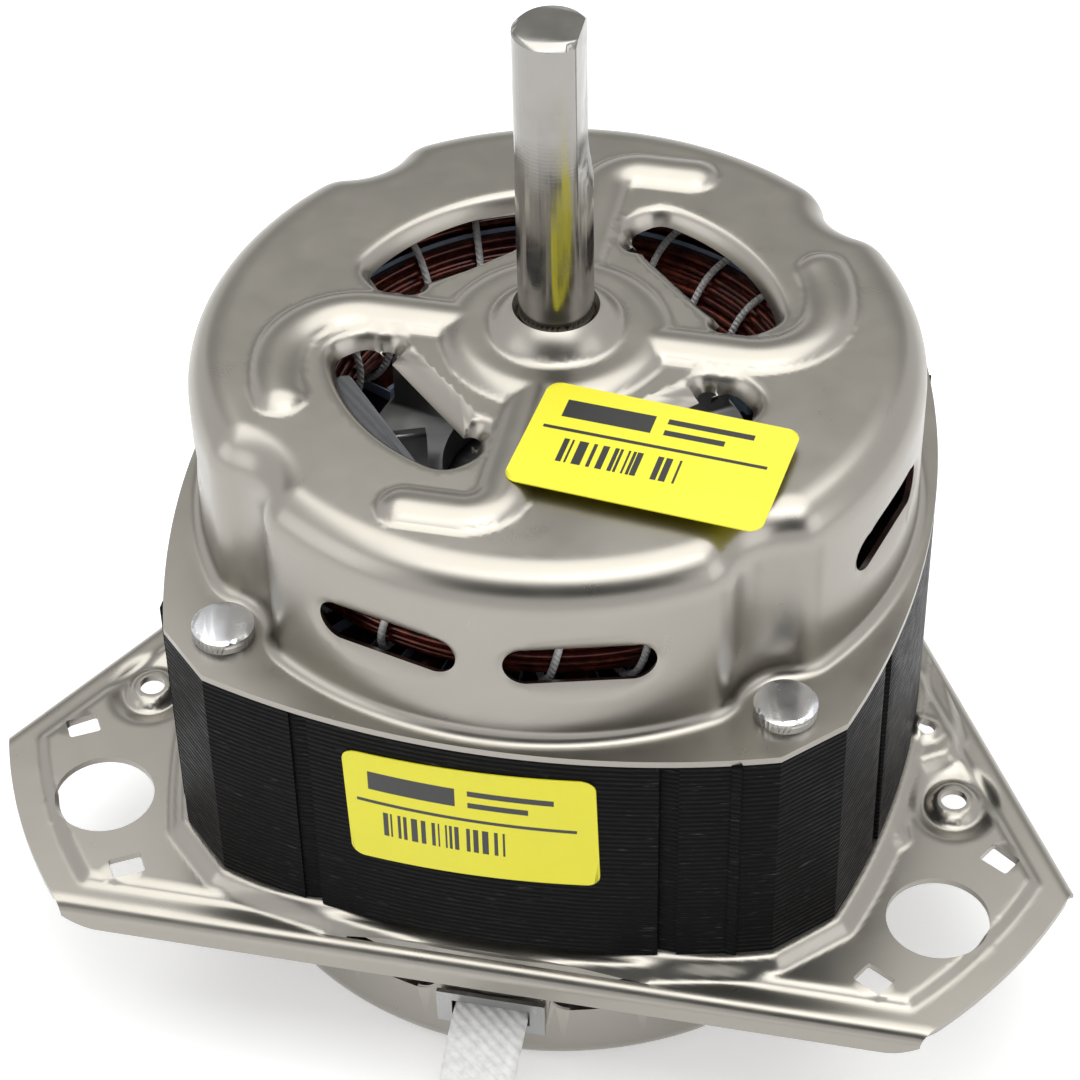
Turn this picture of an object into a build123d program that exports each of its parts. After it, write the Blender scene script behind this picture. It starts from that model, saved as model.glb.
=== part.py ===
from build123d import *

import math
import os

# Washing machine motor. Millimetres, +Z up along the shaft.
# The origin is on the shaft axis, at the flat underside of the lower cover.

# Pressed sheet and fits
sheet = 1.2
contact_gap = 0.05
soft_gap = 0.3
static_clearance = 0.15
overrun = 2.0

# Lamination stack
stack_half = 61.2
stack_corner_x = 54.06
stack_corner_y = 45.3
stack_length = 43.5
bore_r = 33.0
slot_count = 24
slot_inner_r = 36.0
slot_outer_r = 50.0
slot_inner_width = 5.0
slot_outer_width = 8.0
slot_mouth = 2.6
groove_offset = 29.0
groove_width = 3.0
groove_depth = 0.8
seam_offset = 39.0
seam_width = 1.6
seam_height = 0.45

# Domed covers
cover_wall_r = 58.5
cover_bend_r = 6.5
lower_depth = 33.3
upper_height = 31.8
notch_floor_r = 55.1
notch_r = 10.0
notch_shoulder_r = 8.0
emboss = 1.8
hub_ring_r = 18.4
rib_half_width = 4.3
emboss_round = 1.5
hook_r = 12.0
hook_turn = 90.0
tail_turn = 30.0
knee_r = 6.0
foot_length = 8.0
slot_angle_start = 3.5
slot_angle_end = 26.5
lower_slot_start = 9.5
slot_height = 7.0
slot_level_share = 0.48
window_outer_r = 35.2
window_chord = 24.0
window_half = 16.5
window_corner_r = 3.6
window_key_r = 1.7
window_key_inset = 4.2

# Base plate of the lower cover
plate_drop = 2.1
mount_pcd = 162.4
mount_hole_r = 8.4
corner_reach = 93.5
corner_half = 20.7
plate_corner_r = 1.5
skirt_depth = 4.9
square_radial = 5.4
square_across = 4.2
square_offset = 16.8
dimple_x = 69.8
dimple_y = -14.6
dimple_hole_r = 2.2
tapped_x = 63.3
tapped_y = -0.7
tapped_r = 1.6
rim_hole_collar = 1.2

# Shaft and its flat
shaft_r = 6.0
shaft_top = 168.7
shaft_foot = 3.0
shaft_chamfer = 0.8
flat_length = 21.5
flat_distance = 4.5
flat_runout_r = 14.0

# Self-aligning bushes and what holds them
bush_sphere_r = 11.0
bush_half = 8.0
bush_clearance = 0.03
seat_clearance = 0.1
boss_rim_z = 116.6
boss_mouth_r = 6.9
retainer_sheet = 0.8
retainer_r = 15.6
retainer_lip_r = 7.2
felt_gap = 0.3
lower_bush_z = 12.0
seat_flange_r = 14.6
collar_flange_r = 10.0
collar_flange = 1.3
collar_sleeve_r = 6.85
clip_thickness = 1.1
clip_r = 9.0
clip_groove_depth = 0.6
slinger_depth = 0.3

# Rotor
air_gap = 0.4
end_ring_inner_r = 19.0
end_ring_height = 6.0
end_ring_inset = 0.6
blade_count = 9
blade_height = 9.0
blade_length = 10.0
blade_thickness = 2.4
bar_count = 30
bar_r = 2.0
bar_inset = 3.2

# Windings
coil_gap = 0.3
liner_thickness = 0.25
liner_reach = 2.0
wedge_thickness = 0.8
wedge_width = 4.2
riser_width = 3.6
riser_depth = 4.6
bundle_r = 44.0
core_half_width = 6.6
core_half_height = 7.4
turn_wire = 1.2
turn_loops = 9
turn_start_deg = -37.0
turn_end_deg = 79.0
lace_wire = 1.2
lace_loops = 24
lace_floor = 3.0
phase_sheet = 0.3

# Thermal protector
protector_length = 23.0
protector_width = 10.5
protector_height = 6.0
protector_r = 35.6
protector_deg = -140.0
protector_lead_r = 0.9
protector_lead_reach = 12.0

# Rivets
rivet_place = 44.42
rivet_head_r = 4.95
rivet_head_height = 2.4
rivet_shank_r = 2.75
rivet_chamfer = 0.5

# Lead out of the lower cover
sleeve_width = 12.5
sleeve_thickness = 3.0
exit_z = 14.0
exit_margin = 1.5
clip_sheet = 0.8
connector_length = 24.0
connector_width = 15.0
connector_height = 9.0
connector_pins = 5
pin_hole = 1.8
latch_height = 2.0
latch_length = 9.0
latch_width = 5.0

# Labels
label_width = 40.0
label_height = 23.6
label_thickness = 0.2
label_corner_r = 2.2
front_label_x = -1.6
front_label_z = 62.2
front_label_tilt = -1.6
top_label_x = 20.6
top_label_y = -28.0
top_label_turn = -6.5

# Levels along the shaft
stack_foot = lower_depth + sheet
stack_top = stack_foot + stack_length
face_top = stack_top + sheet + upper_height
hub_top = face_top + emboss
plate_top = stack_foot - plate_drop
plate_under = plate_top - sheet
housing_r = bush_sphere_r + seat_clearance
boss_r = housing_r + sheet
upper_bush_z = boss_rim_z - math.sqrt(boss_r**2 - boss_mouth_r**2)
rotor_r = bore_r - air_gap
upwards = Vector(0, 0, 1)


def save(shape, name):
    export_step(shape, f"parts/{name}.step")


def polar(radius, degrees, z=0):
    turn = math.radians(degrees)
    return Vector(radius * math.cos(turn), radius * math.sin(turn), z)


def upright(face, z_low, z_high):
    return extrude(Pos(0, 0, z_low) * face, amount=z_high - z_low, dir=(0, 0, 1))


def tube(r_in, r_out, z_low, z_high):
    ring = Circle(r_out) - Circle(r_in) if r_in > 0 else Circle(r_out)
    return upright(ring, z_low, z_high)


def ring_of(shape, count):
    return [Rot(0, 0, 360 * i / count) * shape for i in range(count)]


def lamination_face(grow=0):
    """The square outline with bulged sides and cut corners."""
    half, cx, cy = stack_half + grow, stack_corner_x + grow, stack_corner_y + grow * math.tan(math.pi / 8)
    edges = []
    for i in range(4):
        turn = Rot(0, 0, 90 * i)
        side = ThreePointArc((cx, -cy), (half, 0), (cx, cy))
        corner = Line((cx, cy), (cy, cx))
        edges += [turn * side, turn * corner]
    return make_face(edges)


# Domed covers: the plan has a notch at each corner for the rivet head
def dome_face(inset):
    wall, notch, shoulder = cover_wall_r - inset, notch_r + inset, notch_shoulder_r - inset
    notch_at = notch_floor_r + notch_r
    hub = wall - shoulder
    reach = notch + shoulder
    swing = math.degrees(math.acos((hub**2 + notch_at**2 - reach**2) / (2 * hub * notch_at)))
    edges = []
    for i in range(4):
        turn = Rot(0, 0, 90 * i)
        side_end = 45 - swing
        edges.append(turn * ThreePointArc(polar(wall, -side_end), polar(wall, 0), polar(wall, side_end)))
        centre = polar(notch_at, 45)
        for sign in (-1, 1):
            knee = polar(hub, 45 + sign * swing)
            to_notch = (centre - knee).normalized()
            start = knee + polar(shoulder, 45 + sign * swing)
            end = knee + to_notch * shoulder
            middle = knee + ((start - knee).normalized() + to_notch).normalized() * shoulder
            arc = ThreePointArc(start, middle, end)
            edges.append(turn * arc)
            if sign < 0:
                first = end
            else:
                edges.append(turn * ThreePointArc(first, polar(notch_floor_r - inset, 45), end))
    return make_face(Wire(Wire.combine(edges)[0].edges()))


def dome_body(inset, z_open, z_end):
    """A dome that opens at z_open and is closed, with its bend, at z_end."""
    body = upright(dome_face(inset), min(z_open, z_end), max(z_open, z_end))
    rim = body.faces().sort_by(Axis.Z)[-1 if z_end > z_open else 0].edges()
    return fillet(rim, cover_bend_r - inset)


def window_face():
    """One kidney window, on the diagonal, with a small key at each inner end."""
    side = math.sqrt(window_outer_r**2 - window_half**2)
    a, b = (window_chord, -window_half), (window_chord, window_half)
    outline = [Line(b, a), Line(a, (side, -window_half))]
    outline.append(ThreePointArc((side, -window_half), (window_outer_r, 0), (side, window_half)))
    outline.append(Line((side, window_half), b))
    face = make_face(outline)
    face = fillet(face.vertices(), window_corner_r)
    keys = [
        Pos(window_chord, sign * (window_half - window_key_inset)) * Circle(window_key_r)
        for sign in (-1, 1)
    ]
    return Rot(0, 0, 45) * (face + keys)


def stroke(path, half):
    """A band of even width along a path, with round ends."""
    band = offset(Wire(path), amount=half, kind=Kind.ARC, side=Side.BOTH)
    return make_face(band.edges())


def rib_face(inset):
    """Hub ring and four hooked ribs, as one outline."""
    half = rib_half_width - inset
    edge_r = cover_wall_r - cover_bend_r
    reach = edge_r - 2 * rib_half_width + emboss - hook_r - 2 * emboss
    stem = Line((0, 0), (-reach, 0))
    hook = JernArc(start=stem @ 1, tangent=stem % 1, radius=hook_r, arc_size=hook_turn)
    tail = JernArc(start=hook @ 1, tangent=hook % 1, radius=2 * hook_r, arc_size=tail_turn)
    long_rib = stroke([stem, hook, tail], half)
    foot_y = edge_r - rib_half_width - 2 * emboss
    leg = Line((0, 0), (0, knee_r - foot_y))
    knee = JernArc(start=leg @ 1, tangent=leg % 1, radius=knee_r, arc_size=-hook_turn)
    foot = Line(knee @ 1, knee @ 1 + Vector(-foot_length, 0))
    short_rib = stroke([leg, knee, foot], half)
    whole = Circle(hub_ring_r - inset)
    for face in (long_rib, short_rib):
        whole += face
        whole += Rot(0, 0, 180) * face
    return whole


def emboss_body(inset, base, top):
    raised = upright(rib_face(inset), base, top)
    return fillet(raised.faces().sort_by(Axis.Z)[-1].edges(), emboss_round)


def wall_slots(z_middle, start):
    """Eight cooling slots through the wall, two in each side."""
    middle = (start + slot_angle_end) / 2
    length = cover_wall_r * math.radians(slot_angle_end - start)
    cutter = extrude(SlotOverall(length, slot_height), amount=cover_wall_r - notch_floor_r + notch_r)
    lying = Plane((notch_floor_r - notch_r / 2, 0, z_middle), (0, 1, 0), (1, 0, 0)).location * cutter
    slots = []
    for i in range(4):
        for sign in (-1, 1):
            slots.append(Rot(0, 0, 90 * i + sign * middle) * lying)
    return slots


def corner_places():
    return [(sx * rivet_place, sy * rivet_place) for sx in (1, -1) for sy in (1, -1)]


def rivet_holes(z_low, z_high):
    hole = Circle(rivet_shank_r + static_clearance)
    return [upright(Pos(x, y) * hole, z_low, z_high) for x, y in corner_places()]


# Upper cover
def upper_cover():
    face = face_top
    outer = dome_body(0, stack_top, face) + emboss_body(0, face - sheet, hub_top)
    outer += upright(lamination_face(), stack_top, stack_top + sheet)
    boss = Pos(0, 0, upper_bush_z) * Sphere(boss_r)
    outer += boss & tube(0, boss_r + overrun, face, boss_rim_z)
    inner = dome_body(sheet, stack_top - overrun, face - sheet)
    inner += emboss_body(sheet, face - 2 * sheet, hub_top - sheet)
    cover = outer - inner
    cover -= Pos(0, 0, upper_bush_z) * Sphere(housing_r)
    cover -= tube(0, boss_mouth_r, face - overrun, boss_rim_z + overrun)
    cover -= ring_of(upright(window_face(), face - sheet - overrun, hub_top + overrun), 4)
    cover -= wall_slots(stack_top + sheet + upper_height * slot_level_share, slot_angle_start)
    cover -= rivet_holes(stack_top - overrun, stack_top + sheet + overrun)
    return cover


# Lower cover: dome, stack seat, three-cornered plate and its skirt
def plate_face(grow=0):
    """Three long sides, joined by arcs about the shaft's axis."""
    half = corner_half + grow * math.tan(math.pi / 6)
    bulge = math.hypot(corner_reach + grow, half)
    arcs = []
    for i in range(3):
        turn = Rot(0, 0, 120 * i + 90)
        start, middle, end = [turn * Pos(*spot) for spot in
                              ((corner_reach + grow, -half), (bulge, 0), (corner_reach + grow, half))]
        arcs.append(ThreePointArc(start.position, middle.position, end.position))
    sides = [Line(arcs[i] @ 1, arcs[(i + 1) % 3] @ 0) for i in range(3)]
    return make_face(arcs + sides)


def lower_cover():
    plate = upright(plate_face(), plate_under, plate_top)
    plate = fillet(plate.edges().filter_by(Axis.Z), plate_corner_r)
    skirt_outer = upright(plate_face(), plate_top - skirt_depth - sheet, plate_top - sheet / 2)
    skirt_outer -= upright(plate_face(-sheet), plate_top - skirt_depth - overrun, plate_top)
    end_reach = corner_reach - rib_half_width
    for i in range(3):
        corner_box = Pos(end_reach + corner_reach / 2, 0, plate_under)
        corner_box *= Box(corner_reach, 4 * corner_half, 4 * skirt_depth)
        skirt_outer -= Rot(0, 0, 120 * i + 90) * corner_box
    seat_outer = upright(lamination_face(sheet), plate_under, stack_foot)
    seat_inner = upright(lamination_face(0), plate_under - overrun, stack_foot - sheet)
    outer = plate + skirt_outer + seat_outer - seat_inner
    outer += dome_body(0, stack_foot, 0)
    cover = outer - dome_body(sheet, stack_foot + overrun, sheet)
    for i in range(3):
        turn = Rot(0, 0, 120 * i + 90)
        at_hole = turn * Pos(mount_pcd / 2, 0)
        cover -= at_hole * upright(Circle(mount_hole_r), plate_under - overrun, plate_top + overrun)
        square = upright(Rectangle(square_radial, square_across), plate_under - overrun, plate_top + overrun)
        for sign in (-1, 1):
            cover -= turn * Pos(mount_pcd / 2, sign * square_offset) * square
    for x, y, r in ((dimple_x, dimple_y, dimple_hole_r), (-dimple_x, dimple_y, dimple_hole_r),
                    (tapped_x, tapped_y, tapped_r)):
        collar = Pos(x, y) * Circle(r + sheet / 2)
        cover += upright(collar, plate_under - rim_hole_collar, plate_top)
        cover -= upright(Pos(x, y) * Circle(r), plate_under - overrun, plate_top + overrun)
    cover -= wall_slots(stack_foot - lower_depth * slot_level_share, lower_slot_start)
    cover -= ring_of(upright(window_face(), -overrun, sheet + overrun), 4)
    cover -= exit_cutter()
    cover -= rivet_holes(plate_under - overrun, stack_foot + overrun)
    return cover


def exit_cutter():
    """The window in the lower wall that the lead leaves by."""
    width = sleeve_width + 2 * exit_margin
    height = sleeve_thickness + 2 * exit_margin
    return Pos(0, -cover_wall_r, exit_z) * Box(width, 4 * exit_margin + sleeve_width, height)


# Lamination stack
def slot_polygon(inset, r_low, r_high):
    slope = (slot_outer_width - slot_inner_width) / (slot_outer_r - slot_inner_r)
    low = slot_inner_width / 2 + slope * (r_low - slot_inner_r) / 2 - inset
    high = slot_inner_width / 2 + slope * (r_high - slot_inner_r) / 2 - inset
    corners = [(r_low, -low), (r_high, -high), (r_high, high), (r_low, low)]
    return make_face(Polyline(*corners, close=True))


def stator_core():
    face = lamination_face() - Circle(bore_r)
    slot = slot_polygon(0, slot_inner_r, slot_outer_r)
    slot += Pos((bore_r + slot_inner_r) / 2, 0) * Rectangle(slot_inner_r - bore_r + overrun, slot_mouth)
    face -= ring_of(slot, slot_count)
    for i in range(4):
        for sign in (-1, 1):
            depth = math.sqrt(side_arc_r**2 - groove_offset**2) - side_arc_r + stack_half
            groove = Pos(depth, sign * groove_offset) * Rectangle(2 * groove_depth, groove_width)
            face -= Rot(0, 0, 90 * i) * groove
    core = upright(face, stack_foot, stack_top)
    core -= rivet_holes(stack_foot - overrun, stack_top + overrun)
    for i in range(4):
        depth = math.sqrt(side_arc_r**2 - seam_offset**2) - side_arc_r + stack_half
        seam = Pos(depth, seam_offset) * Rectangle(2 * seam_height, seam_width)
        core += Rot(0, 0, 90 * i) * upright(seam, stack_foot, stack_top)
    return core


side_sag = stack_half - stack_corner_x
side_arc_r = (stack_corner_y**2 + side_sag**2) / (2 * side_sag)


# What lies in the slots
liner_floor_r = slot_outer_r - contact_gap
liner_mouth_r = slot_inner_r + contact_gap
wedge_floor_r = liner_mouth_r + liner_thickness + contact_gap
coil_low_r = wedge_floor_r + wedge_thickness + coil_gap
coil_high_r = slot_outer_r - liner_thickness - coil_gap


def slot_liners():
    outer = slot_polygon(contact_gap, liner_mouth_r, liner_floor_r)
    inner = slot_polygon(contact_gap + liner_thickness, slot_inner_r, liner_floor_r - liner_thickness)
    liner = upright(outer - inner, stack_foot - liner_reach, stack_top + liner_reach)
    return Compound(children=ring_of(liner, slot_count))


def slot_wedges():
    face = Pos(wedge_floor_r + wedge_thickness / 2, 0) * Rectangle(wedge_thickness, wedge_width)
    wedge = upright(face, stack_foot - liner_reach, stack_top + liner_reach)
    return Compound(children=ring_of(wedge, slot_count))


# End windings: an oval bundle over each end of the stack
wire_half = turn_wire / 2
lace_half = lace_wire / 2
turn_half_width = core_half_width + wire_half + contact_gap
turn_half_height = core_half_height + wire_half + contact_gap
lace_half_width = turn_half_width + wire_half + static_clearance + lace_half
lace_half_height = turn_half_height + wire_half + static_clearance + lace_half
bundle_rise = lace_floor + lace_half_height


def bundle_level(end):
    return stack_top + bundle_rise if end > 0 else stack_foot - bundle_rise


def oval_half(sign, z_middle):
    """Half of the bundle's oval section, turned about the shaft."""
    split = phase_sheet / 2 + contact_gap
    rise = core_half_height * math.sqrt(1 - (split / core_half_width) ** 2)
    diag = math.sqrt(0.5)
    low = (bundle_r + sign * split, 0, z_middle - rise)
    high = (bundle_r + sign * split, 0, z_middle + rise)
    tip = (bundle_r + sign * core_half_width, 0, z_middle)
    corner = core_half_width * diag, core_half_height * diag
    below = (bundle_r + sign * corner[0], 0, z_middle - corner[1])
    above = (bundle_r + sign * corner[0], 0, z_middle + corner[1])
    section = make_face([ThreePointArc(low, below, tip), ThreePointArc(tip, above, high), Line(high, low)])
    return revolve(section, axis=Axis.Z, revolution_arc=360)


def phase_winding(sign, first_slots):
    """A phase: its half of both bundles and its coil sides in the slots."""
    winding = oval_half(sign, bundle_level(1)) + oval_half(sign, bundle_level(-1))
    side_face = slot_polygon(liner_thickness + coil_gap, coil_low_r, coil_high_r)
    riser_r = bundle_r + sign * (phase_sheet + contact_gap + riser_depth / 2)
    riser_face = Pos(riser_r, 0) * Rectangle(riser_depth, riser_width)
    side = upright(side_face, stack_foot - liner_thickness, stack_top + liner_thickness)
    side += upright(riser_face, bundle_level(-1), stack_foot)
    side += upright(riser_face, stack_top, bundle_level(1))
    for index in first_slots:
        winding += Rot(0, 0, 360 * index / slot_count) * side
    return winding


def slots_of(phase):
    """Each phase fills three slots in a row, then leaves three."""
    return [i for i in range(slot_count) if (i // 3) % 2 == phase]


def biarc(p, t, q, u):
    """Two arcs that leave p along t and reach q along u."""
    v = q - p
    sum_t = t + u
    denominator = 2 * (1 - t.dot(u))
    v_dot = v.dot(sum_t)
    root = v_dot**2 + denominator * v.dot(v)
    reach = (math.sqrt(root) - v_dot) / denominator
    joint = (p + q + (t - u) * reach) / 2
    edges = []
    for start, direction, end, flip in ((p, t, joint, 1), (q, u * -1, joint, -1)):
        chord = end - start
        across = chord - direction * chord.dot(direction)
        angle = math.atan2(across.length, chord.dot(direction))
        normal = across.normalized()
        radius = chord.length / (2 * math.sin(angle))
        middle = start + direction * radius * math.sin(angle) + normal * radius * (1 - math.cos(angle))
        ends = (start, middle, end) if flip > 0 else (end, middle, start)
        edges.append(ThreePointArc(*ends))
    return edges


def wound_tube(nodes, tangents, wire, name, loops):
    """One unbroken tube on biarcs, with a straight lead at each end."""
    start = nodes[0] - tangents[0] * wire
    finish = nodes[-1] + tangents[-1] * wire
    edges = [Line(start, nodes[0])]
    for i in range(len(nodes) - 1):
        edges += biarc(nodes[i], tangents[i], nodes[i + 1], tangents[i + 1])
    edges.append(Line(nodes[-1], finish))
    path = Wire(edges)
    section = Plane(origin=start, z_dir=tangents[0]) * Circle(wire / 2)
    body = sweep(section, path=path)
    report_gap(edges, wire, name, loops)
    return body


def report_gap(edges, wire, name, loops):
    """Prints the loops, the cord's radius and its least gap to itself."""
    per_edge = 24
    points = [edge @ (k / per_edge) for edge in edges for k in range(per_edge)]
    run = [0.0]
    for a, b in zip(points, points[1:]):
        run.append(run[-1] + (b - a).length)
    cell = 3 * wire
    grid = {}
    for i, p in enumerate(points):
        grid.setdefault((int(p.X // cell), int(p.Y // cell), int(p.Z // cell)), []).append(i)
    least = math.inf
    for (cx, cy, cz), members in grid.items():
        near = []
        for dx in (-1, 0, 1):
            for dy in (-1, 0, 1):
                for dz in (-1, 0, 1):
                    near += grid.get((cx + dx, cy + dy, cz + dz), [])
        for i in members:
            for j in near:
                if run[j] - run[i] > 6 * wire:
                    least = min(least, segment_gap(points, i, j))
    print(name, "loops", loops, "cord radius", wire / 2, "least gap", round(least - wire, 3))


def segment_gap(points, i, j):
    """From point i to the stretch of the line round point j."""
    best = math.inf
    for a, b in ((j - 1, j), (j, j + 1)):
        if a < 0 or b >= len(points):
            continue
        along = points[b] - points[a]
        share = (points[i] - points[a]).dot(along) / along.dot(along)
        share = min(1.0, max(0.0, share))
        best = min(best, (points[i] - points[a] - along * share).length)
    return best


def curve_nodes(place, steps, per_step):
    """Points and tangents of a curve given by a function of its turn."""
    nodes, tangents = [], []
    small = 1e-4
    for i in range(steps + 1):
        turn = i * per_step
        ahead, behind = place(turn + small), place(turn - small)
        nodes.append(place(turn))
        tangents.append((ahead - behind).normalized())
    return nodes, tangents


def end_turns(sign, end, name):
    """The outer layer of turns over one phase's half of a bundle."""
    total = 360 * turn_loops
    z_middle = bundle_level(end)

    def place(turn):
        swing = turn_start_deg + (turn_end_deg - turn_start_deg) * turn / total
        angle = math.radians(swing)
        r = bundle_r + sign * turn_half_width * math.cos(angle)
        z = z_middle + end * turn_half_height * math.sin(angle)
        return polar(r, turn, z)

    nodes, tangents = curve_nodes(place, 4 * turn_loops, 90)
    return wound_tube(nodes, tangents, turn_wire, name, turn_loops)


def lacing(end, name):
    """The cord that binds a bundle, round and round its section."""
    z_middle = bundle_level(end)
    pitch = 360 / slot_count
    first = pitch / 2 + pitch / 4

    def place(turn):
        angle = math.radians(turn)
        r = bundle_r + lace_half_width * math.cos(angle)
        z = z_middle + end * lace_half_height * math.sin(angle)
        return polar(r, first + pitch * turn / 360, z)

    nodes, tangents = curve_nodes(place, 4 * (lace_loops - 1), 90)
    return wound_tube(nodes, tangents, lace_wire, name, lace_loops - 1)


def phase_insulation():
    half = turn_half_height
    rings = []
    for end in (1, -1):
        z = bundle_level(end)
        rings.append(tube(bundle_r - phase_sheet / 2, bundle_r + phase_sheet / 2, z - half, z + half))
    return Compound(children=rings)


# Thermal protector on top of the upper bundle, in its sleeve
protector_z = bundle_level(1) + lace_half_height + lace_half + soft_gap


def protector_frame():
    return Rot(0, 0, protector_deg) * Pos(protector_r, 0, protector_z + protector_height / 2)


def thermal_protector():
    body = Box(protector_width, protector_length, protector_height)
    body = fillet(body.edges().filter_by(Axis.Y), protector_height / 3)
    return protector_frame() * body


def protector_leads():
    leads = []
    for sign in (-1, 1):
        start = (protector_width / 4, sign * protector_length / 2)
        bend_r = 3 * protector_lead_r
        knee = (start[0], start[1] + sign * protector_lead_reach / 2)
        tail = (start[0] + protector_lead_reach / 3, start[1] + sign * protector_lead_reach)
        path = FilletPolyline(start, knee, tail, radius=bend_r)
        section = Plane(origin=path @ 0, z_dir=path % 0) * Circle(protector_lead_r)
        leads.append(protector_frame() * sweep(section, path=path))
    return Compound(children=leads)


# Rivets through covers and stack
def through_rivets():
    low = stack_foot - sheet
    high = stack_top + sheet
    head = Circle(rivet_head_r)
    top = upright(head, high, high + rivet_head_height)
    top = chamfer(top.faces().sort_by(Axis.Z)[-1].edges(), rivet_chamfer)
    foot = upright(head, low - rivet_head_height, low)
    foot = chamfer(foot.faces().sort_by(Axis.Z)[0].edges(), rivet_chamfer)
    rivet = top + foot + upright(Circle(rivet_shank_r), low, high)
    return Compound(children=[Pos(x, y, 0) * rivet for x, y in corner_places()])


# Bushes, felts, seats and retainers
def bush(z_middle):
    body = Sphere(bush_sphere_r) & Box(4 * bush_sphere_r, 4 * bush_sphere_r, 2 * bush_half)
    body -= Cylinder(shaft_r + bush_clearance, 2 * bush_half + overrun)
    return Pos(0, 0, z_middle) * body


def felt(z_middle, z_low, z_high, r_out):
    ring = tube(bush_half, r_out - felt_gap, z_low + felt_gap, z_high - felt_gap)
    return ring - Pos(0, 0, z_middle) * Sphere(bush_sphere_r + felt_gap)


upper_bush_foot = upper_bush_z - bush_half
lower_bush_top = lower_bush_z + bush_half
hub_under = hub_top - sheet
seat_top = lower_bush_z - bush_half / 2


def cup(z_seat, z_lip, lean):
    """A sheet cup: flange on the cover, wall, and the lip that holds the bush."""
    wall_in = retainer_r - retainer_sheet
    flange = tube(wall_in, retainer_r + 2 * retainer_sheet * lean, *ordered(z_seat, z_lip, retainer_sheet))
    wall = tube(wall_in, retainer_r, min(z_seat, z_lip), max(z_seat, z_lip))
    lip = tube(retainer_lip_r, retainer_r, *ordered(z_lip, z_seat, -retainer_sheet))
    return flange + wall + lip


def ordered(z_from, z_towards, amount):
    step = math.copysign(amount, (z_towards - z_from) * amount)
    return min(z_from, z_from + step), max(z_from, z_from + step)


def lower_bush_seat():
    """A cup welded to the floor of the lower cover, under the bush."""
    shell = Pos(0, 0, lower_bush_z) * (Sphere(boss_r) - Sphere(housing_r))
    shell = shell & tube(boss_mouth_r, boss_r + overrun, sheet, seat_top)
    flange = tube(boss_mouth_r, seat_flange_r, sheet, 2 * sheet)
    flange -= Pos(0, 0, lower_bush_z) * Sphere(housing_r)
    return shell + flange


# Shaft, its clips and collars
upper_collar_top = upper_bush_foot - contact_gap
upper_lip_under = upper_bush_foot - contact_gap - retainer_sheet
upper_clip_top = upper_lip_under - soft_gap - collar_flange
lower_collar_foot = lower_bush_top + contact_gap
lower_lip_top = lower_bush_top + contact_gap + retainer_sheet
lower_clip_foot = lower_lip_top + soft_gap + collar_flange


def shaft():
    body = upright(Circle(shaft_r), shaft_foot, shaft_top)
    ends = body.edges().filter_by(GeomType.CIRCLE)
    body = chamfer(ends, shaft_chamfer)
    flat_middle = shaft_top - flat_length / 2
    flat = Pos(flat_distance + shaft_r / 2, 0, flat_middle + overrun / 2)
    body -= flat * Box(shaft_r, 3 * shaft_r, flat_length + overrun)
    runout = Pos(flat_distance + flat_runout_r, 0, shaft_top - flat_length) * Rot(90, 0, 0)
    body -= runout * Cylinder(flat_runout_r, 3 * shaft_r)
    grooves = (upper_clip_top - clip_thickness, lower_clip_foot)
    for z in grooves:
        low, high = z - contact_gap, z + clip_thickness + contact_gap
        body -= tube(shaft_r - clip_groove_depth, shaft_r + overrun, low, high)
    # A shallow groove in the boss's mouth stops oil from creeping out
    mouth_low, mouth_high = boss_rim_z - 3 * slinger_depth, boss_rim_z + slinger_depth
    body -= tube(shaft_r - slinger_depth, shaft_r + overrun, mouth_low, mouth_high)
    return body


def circlips():
    """Two open spring clips in the shaft's grooves."""
    face = Circle(clip_r) - Circle(shaft_r - clip_groove_depth + contact_gap)
    gap = Pos(clip_r / 2, 0) * Rectangle(clip_r + overrun, shaft_r)
    face -= gap
    upper = upright(face, upper_clip_top - clip_thickness, upper_clip_top)
    lower = upright(face, lower_clip_foot, lower_clip_foot + clip_thickness)
    return Compound(children=[upper, lower])


def collar(z_bush, z_flange, z_clip):
    bore = shaft_r + contact_gap
    sleeve = tube(bore, collar_sleeve_r, min(z_bush, z_clip), max(z_bush, z_clip))
    plate = tube(bore, collar_flange_r, min(z_flange, z_clip), max(z_flange, z_clip))
    return sleeve + plate


# Rotor
def rotor_core():
    face = Circle(rotor_r) - Circle(shaft_r)
    bar = Pos(rotor_r - bar_inset, 0) * Circle(bar_r)
    face -= ring_of(bar, bar_count)
    return upright(face, stack_foot, stack_top)


def rotor_cage():
    """Cast bars, end rings and fan blades, in one piece."""
    cage = tube(end_ring_inner_r, rotor_r - end_ring_inset, stack_top, stack_top + end_ring_height)
    cage += tube(end_ring_inner_r, rotor_r - end_ring_inset, stack_foot - end_ring_height, stack_foot)
    bar = upright(Pos(rotor_r - bar_inset, 0) * Circle(bar_r), stack_foot, stack_top)
    for item in ring_of(bar, bar_count):
        cage += item
    blade_r = rotor_r - end_ring_inset - blade_length / 2 - end_ring_inset
    blade_face = Pos(blade_r, 0) * Rectangle(blade_length, blade_thickness)
    for i in range(blade_count):
        turn = Rot(0, 0, 360 * i / blade_count)
        high = stack_top + end_ring_height
        low = stack_foot - end_ring_height
        cage += turn * upright(blade_face, high, high + blade_height)
        cage += turn * upright(blade_face, low - blade_height, low)
    return cage


# Lead: a flat woven sleeve, laid forward on the floor, with its connector
sleeve_route = [
    (0.0, -54.5, 14.0),
    (0.0, -66.5, 13.4),
    (0.0, -79.0, 1.6),
    (0.0, -97.0, 1.6),
    (26.0, -116.0, 1.6),
    (66.0, -121.0, 1.6),
    (106.0, -113.0, 1.6),
    (134.0, -88.0, 1.6),
    (144.0, -56.0, 1.6),
]


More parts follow.
